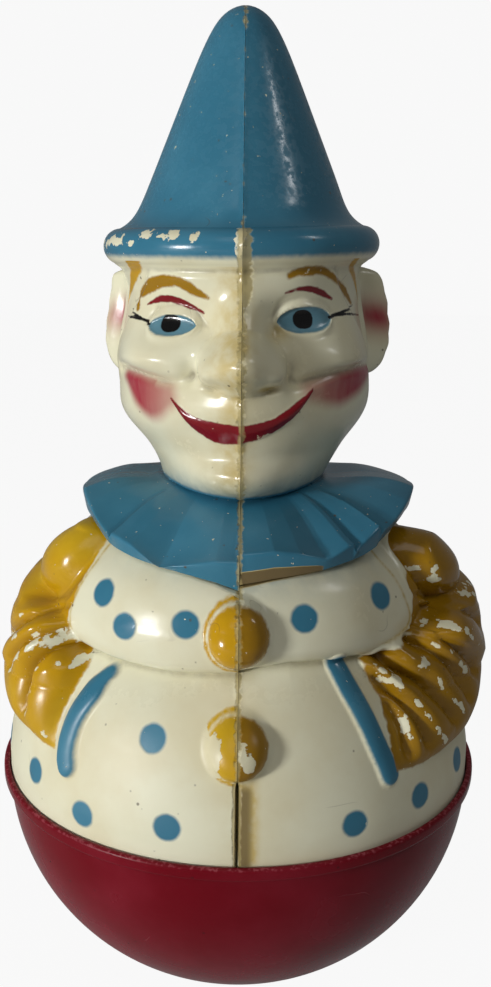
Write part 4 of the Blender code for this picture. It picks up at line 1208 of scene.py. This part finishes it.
def bend(points):
    """How sharply the surface bends at each place, per millimetre: ridges above 0, creases below."""
    across = np.gradient(points, axis=1)
    down = np.gradient(points, axis=0)
    normal = np.cross(down, across)
    normal /= np.linalg.norm(normal, axis=-1, keepdims=True) + 1e-9
    outward = np.sign(np.sum(normal[..., :2] * points[..., :2], axis=-1, keepdims=True) + 1e-9)
    normal *= np.median(outward)
    total = np.zeros(radius.shape)
    for axis in (0, 1):
        ahead_step = np.roll(points, -2, axis=axis) - points
        back_step = np.roll(points, 2, axis=axis) - points
        ahead_length = np.linalg.norm(ahead_step, axis=-1, keepdims=True) + 1e-6
        back_length = np.linalg.norm(back_step, axis=-1, keepdims=True) + 1e-6
        turning = 2 * (ahead_step / ahead_length + back_step / back_length) / (ahead_length + back_length)
        total -= np.sum(turning * normal, axis=-1)
    total[:3] = 0.0
    total[-3:] = 0.0
    total[:, :2] = total[:, 2:3]
    total[:, -2:] = total[:, -3:-2]
    total = np.clip(total, -2.0, 2.0)
    for axis in (0, 1):
        total = sum(np.roll(total, step, axis=axis) for step in (-2, -1, 0, 1, 2)) / 5
    return total


# Dark patches on the face: grime along the seam, and painted shade beside the nose, in the right nostril
# and under the chin.
SMUDGES_AND_SHADE = {
    -1: [(0, 175.5, 1.0, 2.2)],
    1: [
        (15.0, 177.6, 2.2, 1.8), (9.5, 165.6, 2.4, 0.8), (0, 176.0, 1.6, 3.0), (0, 150.0, 1.2, 5.0),
        (8, 141.5, 6.0, 1.2),
    ],
}
HAT_CEMENT_LACK = 0.18
HAT_SEAM_PAINT = 0.6
FOREHEAD_CEMENT = {-1: 0.5, 1: 1.3}
# Painted shade: how fully the yellow on the right half of the body turns ochre.
RIGHT_SIDE_SHADE = 1.0
SEAM_STAINS = {-1: (5.6, 0.95), 1: (2.6, 0.6)}
BODY_STAIN = 0.2
GLUE_STAIN = 1.9
SMUDGE_AND_SHADE_STAIN = 1.3
SLEEVE_CREASE_SHADE = 1.4
COLLAR_STAIN = 2.2
CHEST_MIST = {-1: 0.15, 1: 0.45}


def paint_layers(side, inside, painted, crease_shade, points):
    """The mesh attributes that the material reads, three values to each."""
    red, black, eye, rouge = face_marks(side)
    seam = radius * np.sin(turn)
    wide, strength = SEAM_STAINS[side]
    on_face = (stretch == HEAD) & (degrees < 90)
    stain_and_shade = strength * soft(seam, wide) * on_face
    stain_and_shade += BODY_STAIN * soft(seam, 5.0) * on_body * (degrees < 90)
    slit_glue = ease(SLIT_TOP + 1, SLIT_TOP - 4, height) * ease(6.0, 2.0, seam)
    slit_glue *= on_body * (degrees < 90) * (side > 0)
    stain_and_shade = np.maximum(stain_and_shade, GLUE_STAIN * slit_glue)
    for dark_patch in SMUDGES_AND_SHADE[side]:
        stain_and_shade = np.maximum(stain_and_shade, SMUDGE_AND_SHADE_STAIN * bump(*dark_patch) * (stretch == HEAD))
    bare_edge = ease(2.0, -1.0, blue_paint(side))
    bare_edge *= (stretch == COLLAR_EDGE) | (stretch == COLLAR_UNDER)
    # Painted shade: a brown line in the crease where the upper sleeve meets the chest.
    sleeve_crease_line = soft(inside, 0.45) * (LEVELS[side] > 106) * on_body
    stain_and_shade = np.maximum(stain_and_shade, SLEEVE_CREASE_SHADE * sleeve_crease_line)
    stain_and_shade = np.maximum(stain_and_shade, COLLAR_STAIN * bare_edge * (side > 0) * (degrees < 60))
    mist = np.exp(-(height - NECK_Z) / 2.4) * (stretch == HEAD) * (degrees < 120)
    below_collar = np.exp(-(TUCK_Z - height) / 4.0) * (stretch == CHEST)
    mist = np.clip(mist + CHEST_MIST[side] * below_collar, 0.0, 1.0)
    # Ochre over the yellow: the brows' own colour, painted shade in the sleeve creases, and painted shade
    # over the whole right half of the body.
    ochre_and_shade = np.maximum(ease(-1.0, -0.3, stroke(*BROWS[side])) * (stretch == HEAD), crease_shade)
    ochre_and_shade = np.maximum(ochre_and_shade, RIGHT_SIDE_SHADE * (side > 0) * on_body)
    on_brow = ease(181, 187, height) * ((stretch == HEAD) | (stretch == BRIM)) * (degrees < 90)
    hat_foot = BRIM_Z + BRIM_ROLL
    painted_over = ease(HAT_TOP - 5.0, HAT_TOP - 8.0, height)
    painted_over *= ease(hat_foot + 1.0, hat_foot + 4.0, height)
    lack = HAT_CEMENT_LACK + HAT_SEAM_PAINT * painted_over
    cement = seam - FOREHEAD_CEMENT[side] * on_brow + lack * (stretch == HAT)
    return {
        "coats": np.stack([blue_paint(side), yellow_paint(side, inside, painted), red], axis=-1),
        "marks": np.stack([black, eye, rouge], axis=-1),
        "age_and_shade": np.stack([chips(side), cement, stain_and_shade], axis=-1),
        "relief": np.stack([bend(points), mist, ochre_and_shade], axis=-1),
    }


UNPAINTED = {
    "coats": (NOWHERE, NOWHERE, NOWHERE),
    "marks": (NOWHERE, NOWHERE, 0),
    "age_and_shade": (NOWHERE, -NOWHERE, 0),
    "relief": (0, 0, 0),
}
CREAM = (0.80, 0.78, 0.58)
CREAM_AGED = (0.72, 0.66, 0.44)
YELLOWED_AND_SHADE = (0.60, 0.46, 0.17)
BROWN_STAIN_AND_SHADE = (0.15, 0.105, 0.045)
BLUE = (0.036, 0.172, 0.264)
BLUE_THIN = (0.058, 0.22, 0.32)
YELLOW = (0.55, 0.30, 0.004)
YELLOW_THIN = (0.60, 0.37, 0.012)
OCHRE_AND_SHADE = (0.33, 0.17, 0.004)
RED_PAINT = (0.20, 0.003, 0.008)
ROUGE = (0.36, 0.025, 0.045)
EYE_BLUE = (0.11, 0.24, 0.30)
BLACK = (0.003, 0.003, 0.003)
CEMENT = (0.42, 0.34, 0.14)
GRIME_AND_SHADE = (0.09, 0.06, 0.025)
BELLY_SCUFFING = 0.26
HAT_SCUFFING = 0.24
FIGURE_SHINE = 0.38


def paint_coat_group():
    """A coat of paint: where it lies, from its edge, the softness and waver of the edge, and its chips."""
    group = bpy.data.node_groups.new("paint_coat", "ShaderNodeTree")
    for name in ("Edge", "Softness", "Waver", "Chips"):
        group.interface.new_socket(name, in_out="INPUT", socket_type="NodeSocketFloat")
    group.interface.new_socket("Mask", in_out="OUTPUT", socket_type="NodeSocketFloat")
    given = put(group, "NodeGroupInput", {}).outputs
    place = put(group, "ShaderNodeTexCoord", {}).outputs["Object"]
    ragged = sums(group, "SUBTRACT", noise(group, place, 620.0, 4.0), 0.5)
    edge = plus(group, given["Edge"], ragged, times(group, given["Waver"], 4.0))
    softness = given["Softness"]
    mask = ranged(group, edge, times(group, softness, -1.0), softness)
    kept = sums(group, "SUBTRACT", 1.0, given["Chips"])
    put(group, "NodeGroupOutput", {"Mask": times(group, mask, kept)})
    return group


def painted_plastic():
    made, tree, shader = new_material("painted_cream_plastic")
    wear = handling_wear(tree)
    place = put(tree, "ShaderNodeTexCoord", {}).outputs["Object"]
    layers = {}
    for name in UNPAINTED:
        vector = put(tree, "ShaderNodeAttribute", {}, attribute_name=name).outputs["Vector"]
        layers[name] = put(tree, "ShaderNodeSeparateXYZ", {0: vector}).outputs
    coat_group = paint_coat_group()

    def coat(edge, softness, waver, worn):
        inputs = {"Edge": edge, "Softness": softness, "Waver": waver, "Chips": worn}
        return put(tree, "ShaderNodeGroup", inputs, node_tree=coat_group).outputs[0]

    bending = layers["relief"]["X"]
    ragged = noise(tree, place, 300.0, 5.0)
    uneven = sums(tree, "SUBTRACT", ragged, 0.5)
    rubbed = ranged(tree, plus(tree, bending, uneven, 1.9), 0.62, 0.74)
    flaked = plus(tree, layers["age_and_shade"]["X"], uneven, 7.0)
    tiny = ranged(tree, noise(tree, place, 900.0, 3.0), 0.72, 0.75)
    flaked = sums(tree, "MAXIMUM", ranged(tree, flaked, 0.0, 0.25), tiny)
    worn = sums(tree, "MAXIMUM", rubbed, flaked)

    colour = mixed(tree, ranged(tree, wear["Cloud"], 0.35, 0.75), CREAM, CREAM_AGED)
    # The stain layer turns the cream yellow and brown: real stains, and painted shade in the sleeve
    # crease, beside the nose and under the chin.
    stain_and_shade = layers["age_and_shade"]["Z"]
    blotchy = times(tree, stain_and_shade, ranged(tree, ragged, 0.3, 0.7, 0.4, 1.0))
    colour = mixed(tree, blotchy, colour, YELLOWED_AND_SHADE)
    colour = mixed(tree, ranged(tree, stain_and_shade, 0.95, 2.2, 0.0, 0.95), colour, BROWN_STAIN_AND_SHADE)
    streaks = put(tree, "ShaderNodeMapping", {"Vector": place, "Scale": (1.6, 1.6, 0.35)}).outputs[0]
    streak = ranged(tree, noise(tree, streaks, 260.0, 4.0), 0.30, 0.65, 0.93, 1.0)
    colour = mixed(tree, times(tree, layers["marks"]["Z"], streak), colour, ROUGE)
    misty = times(tree, layers["relief"]["Y"], ranged(tree, ragged, 0.3, 0.7, 0.55, 1.0))
    colour = mixed(tree, misty, colour, BLUE)
    cement = coat(sums(tree, "SUBTRACT", 0.5, layers["age_and_shade"]["Y"]), 0.3, 0.5, 0.0)

    thin = ranged(tree, wear["Cloud"], 0.4, 0.75)
    # The yellow turns ochre on the brows, and as painted shade in the sleeve creases and on the right half
    # of the body.
    yellow = mixed(tree, layers["relief"]["Z"], mixed(tree, thin, YELLOW, YELLOW_THIN), OCHRE_AND_SHADE)
    masks = []
    coats = (
        (layers["coats"]["X"], 0.5, 0.09, mixed(tree, thin, BLUE, BLUE_THIN), flaked),
        (layers["coats"]["Y"], 0.34, 0.2, yellow, worn),
        (layers["marks"]["Y"], 0.2, 0.08, EYE_BLUE, 0.0),
        (layers["coats"]["Z"], 0.2, 0.14, RED_PAINT, times(tree, flaked, 0.8)),
        (layers["marks"]["X"], 0.14, 0.08, BLACK, 0.0),
    )
    for edge, softness, waver, tint, chipped in coats:
        mask = coat(edge, softness, waver, chipped)
        colour = mixed(tree, mask, colour, tint)
        masks.append(mask)
    colour = mixed(tree, times(tree, cement, 0.75), colour, CEMENT)
    # Grime and painted shade: the colour darkens where the surface bends inward, in creases and hollows.
    crease_grime_and_shade = ranged(tree, bending, -0.15, -1.1)
    crease_grime_and_shade = times(tree, crease_grime_and_shade, ranged(tree, ragged, 0.25, 0.7, 0.2, 0.6))
    colour = mixed(tree, crease_grime_and_shade, colour, GRIME_AND_SHADE)
    colour = mixed(tree, times(tree, wear["Specks"], 0.75), colour, GRIME_AND_SHADE)
    colour = mixed(tree, times(tree, wear["Scratches"], 0.3), colour, GRIME_AND_SHADE)
    tree.links.new(colour, shader.inputs["Base Color"])

    painted = masks[0]
    for mask in masks[1:]:
        painted = sums(tree, "MAXIMUM", painted, mask)
    shader.inputs["Specular IOR Level"].default_value = FIGURE_SHINE
    rough = ranged(tree, wear["Cloud"], 0.3, 0.75, 0.17, 0.25)
    rough = plus(tree, rough, crease_grime_and_shade, 0.3)
    upright = put(tree, "ShaderNodeSeparateXYZ", {0: place}).outputs["Z"]
    on_belly = ranged(tree, upright, (WAIST_Z - 30.0) * MM, WAIST_Z * MM, 1.0, 0.0)
    rough = plus(tree, rough, on_belly, BELLY_SCUFFING)
    on_hat = ranged(tree, upright, BRIM_Z * MM, (BRIM_Z + 15.0) * MM, 0.04, HAT_SCUFFING)
    rough = plus(tree, rough, on_hat, ranged(tree, noise(tree, place, 620.0, 4.0), 0.42, 0.62))
    rough = plus(tree, rough, painted, -0.03)
    rough = plus(tree, rough, masks[-1], -0.08)
    tree.links.new(rough, shader.inputs["Roughness"])
    bulk = times(tree, painted, 0.05)
    raised = ((wear["Grain"], 0.008), (wear["Cloud"], 0.15), (cement, 0.12), (wear["Scratches"], -0.03))
    for layer, millimetres in raised:
        bulk = plus(tree, bulk, layer, millimetres)
    bumped(tree, shader, bulk)
    return made


# The two halves: thin mouldings of cream plastic, sprayed and brushed with paint, and cemented together.
# Each has its outside, the hollow behind it, and edges at the seam and the seat that join the two.

HOLLOW_ROWS = 60
HOLLOW_STEP = 8
WALL = 1.8
NEAR_HEIGHT = 3.0
NEAR_TURN = math.radians(9)
LEAST_HOLLOW = 0.6
FIGURE_SHARP_DEGREES = 60


def hollow_points(points, side):
    """The inside of one half: at each place, the least outline close by, less the wall."""
    reach = np.hypot(points[..., 0], points[..., 1])
    levels = np.linspace(HAT_TOP - 2 * WALL, FIGURE_BOTTOM, HOLLOW_ROWS) + SETTLE
    columns = np.append(np.arange(0, COLUMNS - 1, HOLLOW_STEP), COLUMNS - 1)
    inside = np.zeros((HOLLOW_ROWS, len(columns), 3))
    for row, level in enumerate(levels):
        near = np.abs(points[..., 2] - level) < NEAR_HEIGHT
        least = np.where(near, reach, np.inf).min(axis=0)
        for index, column in enumerate(columns):
            close = np.abs(turns - turns[column]) < NEAR_TURN
            out = max(least[close].min() - WALL, LEAST_HOLLOW)
            x = side * (out * math.sin(turns[column]) + SEAM_HALF_GAP)
            inside[row, index] = (x, -out * math.cos(turns[column]), level)
    return inside, columns


def quads_between(grid):
    corners = (grid[:-1, :-1], grid[1:, :-1], grid[1:, 1:], grid[:-1, 1:])
    return np.stack(corners, axis=-1).reshape(-1, 4).tolist()


def figure_half(name, side):
    sleeve, *sleeve_paint_and_shade = sleeve_relief(side)
    points = figure_points(side, sleeve)
    inside, columns = hollow_points(points, side)
    vertices = np.concatenate([points[0, :1], points[1:].reshape(-1, 3), inside.reshape(-1, 3)]) * MM
    outer = 1 + np.arange((ROWS - 1) * COLUMNS).reshape(ROWS - 1, COLUMNS)
    inner = outer[-1, -1] + 1 + np.arange(inside.shape[0] * inside.shape[1]).reshape(inside.shape[:2])
    faces = [(0, a, b) for a, b in zip(outer[0, 1:], outer[0, :-1])]
    faces += quads_between(outer)
    faces += [face[::-1] for face in quads_between(inner)]
    faces.append(tuple(inner[0].tolist()))
    for index in range(len(columns) - 1):
        run = outer[-1, columns[index] : columns[index + 1] + 1].tolist()
        faces.append(tuple(run[::-1] + [inner[-1, index], inner[-1, index + 1]]))
    seam = outer[::-1, 0].tolist() + [0] + outer[:, -1].tolist()
    seam += inner[::-1, -1].tolist() + inner[:, 0].tolist()
    faces.append(tuple(seam))
    if side > 0:
        faces = [tuple(reversed(face)) for face in faces]
    mesh = bpy.data.meshes.new(name)
    mesh.from_pydata(vertices.tolist(), [], faces)
    mesh.shade_smooth()
    mesh.set_sharp_from_angle(angle=math.radians(FIGURE_SHARP_DEGREES))
    for layer, values in paint_layers(side, *sleeve_paint_and_shade, points).items():
        plain = np.tile(np.array(UNPAINTED[layer], float), (inside.shape[0] * inside.shape[1], 1))
        values = np.concatenate([values[0, :1], values[1:].reshape(-1, 3), plain])
        mesh.attributes.new(layer, "FLOAT_VECTOR", "POINT").data.foreach_set("vector", values.ravel())
    piece = bpy.data.objects.new(name, mesh)
    bpy.context.scene.collection.objects.link(piece)
    return piece


painted_finish = painted_plastic()
for side, word in ((-1, "left"), (1, "right")):
    half = figure_half(f"clown_{word}_half", side)
    half.data.materials.append(painted_finish)
    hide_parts(f"figure_{word}_half")
    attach(half, "toy")


# Studio: a pale floor, a small strong lamp from the left, a soft one from above, a weak strip from the
# right, and the camera. The toy seems to have been lit in a dark room, so reflections see the
# background dimly.

FLOOR_GLOW = 0.93
MIRRORED_SHARE = 0.1
PAPER_GREY = (0.62, 0.62, 0.62, 1.0)
WHITE = (1.0, 1.0, 1.0, 1.0)
floor_mesh = bpy.data.meshes.new("studio_floor")
floor_mesh.from_pydata([(-3, -3, 0), (3, -3, 0), (3, 3, 0), (-3, 3, 0)], [], [(0, 1, 2, 3)])
floor = bpy.data.objects.new("studio_floor", floor_mesh)
bpy.context.scene.collection.objects.link(floor)


def background_seen(tree):
    """1 where the camera sees the background, and a part of that in a reflection or through glass."""
    path = put(tree, "ShaderNodeLightPath", {}).outputs
    mirrored = sums(tree, "MAXIMUM", path["Is Glossy Ray"], path["Is Transmission Ray"])
    mirrored = times(tree, mirrored, MIRRORED_SHARE)
    return sums(tree, "MAXIMUM", path["Is Camera Ray"], mirrored)


def floor_paper():
    """Pale paper that keeps the toy's shadow and looks nearly white to the camera."""
    made, tree, shader = new_material("pale_paper")
    shader.inputs["Base Color"].default_value = PAPER_GREY
    shader.inputs["Roughness"].default_value = 0.9
    seen = background_seen(tree)
    glow = put(tree, "ShaderNodeEmission", {}).outputs[0]
    share = times(tree, seen, FLOOR_GLOW)
    paper = put(tree, "ShaderNodeMixShader", {0: share, 1: shader.outputs[0], 2: glow}).outputs[0]
    tree.links.new(paper, tree.nodes["Material Output"].inputs["Surface"])
    return made


floor.data.materials.append(floor_paper())


def lamp(name, place, aim, size, power):
    light = bpy.data.lights.new(name, "AREA")
    light.energy = power
    light.shape = "RECTANGLE"
    light.size, light.size_y = size
    item = bpy.data.objects.new(name, light)
    item.location = place
    item.rotation_euler = (Vector(aim) - Vector(place)).to_track_quat("-Z", "Y").to_euler()
    bpy.context.scene.collection.objects.link(item)


lamp("left_lamp", (-0.80, -0.64, 0.20), (0, 0, 0.13), (0.14, 0.14), 7.4)
lamp("top_lamp", (-0.15, -0.72, 0.95), (0, 0, 0.12), (0.6, 0.6), 1.5)
lamp("right_lamp", (0.76, -0.26, 0.88), (0, 0, 0.16), (0.05, 0.22), 0.7)
world = bpy.data.worlds.new("studio")
bpy.context.scene.world = world
world.use_nodes = True
backdrop = world.node_tree.nodes["Background"]
backdrop.inputs["Color"].default_value = WHITE
FILL_LIGHT = 0.08
WHITE_SEEN = 0.94
seen = background_seen(world.node_tree)
strength = plus(world.node_tree, FILL_LIGHT, seen, WHITE_SEEN - FILL_LIGHT)
world.node_tree.links.new(strength, backdrop.inputs["Strength"])

PHOTO_HEIGHT = 987
FOCAL_PIXELS = 1050.7
SENSOR = 36.0
CAMERA_X = 1.15
CAMERA_Y = -268.6
CAMERA_Z = 196.2
LOOKING_DOWN = 13.15
CAMERA_ROLL = 0.62
camera_data = bpy.data.cameras.new("camera")
camera_data.sensor_width = SENSOR
camera_data.lens = SENSOR * FOCAL_PIXELS / PHOTO_HEIGHT
camera_data.clip_start = 0.01
camera = bpy.data.objects.new("camera", camera_data)
camera.location = (CAMERA_X * MM, CAMERA_Y * MM, (CAMERA_Z + SETTLE) * MM)
camera.rotation_mode = "QUATERNION"
pitch = Quaternion((1, 0, 0), math.radians(90 - LOOKING_DOWN))
roll = Quaternion((0, 0, 1), math.radians(CAMERA_ROLL))
camera.rotation_quaternion = pitch @ roll
bpy.context.scene.collection.objects.link(camera)
bpy.context.scene.camera = camera
bpy.context.scene.view_settings.view_transform = "Standard"
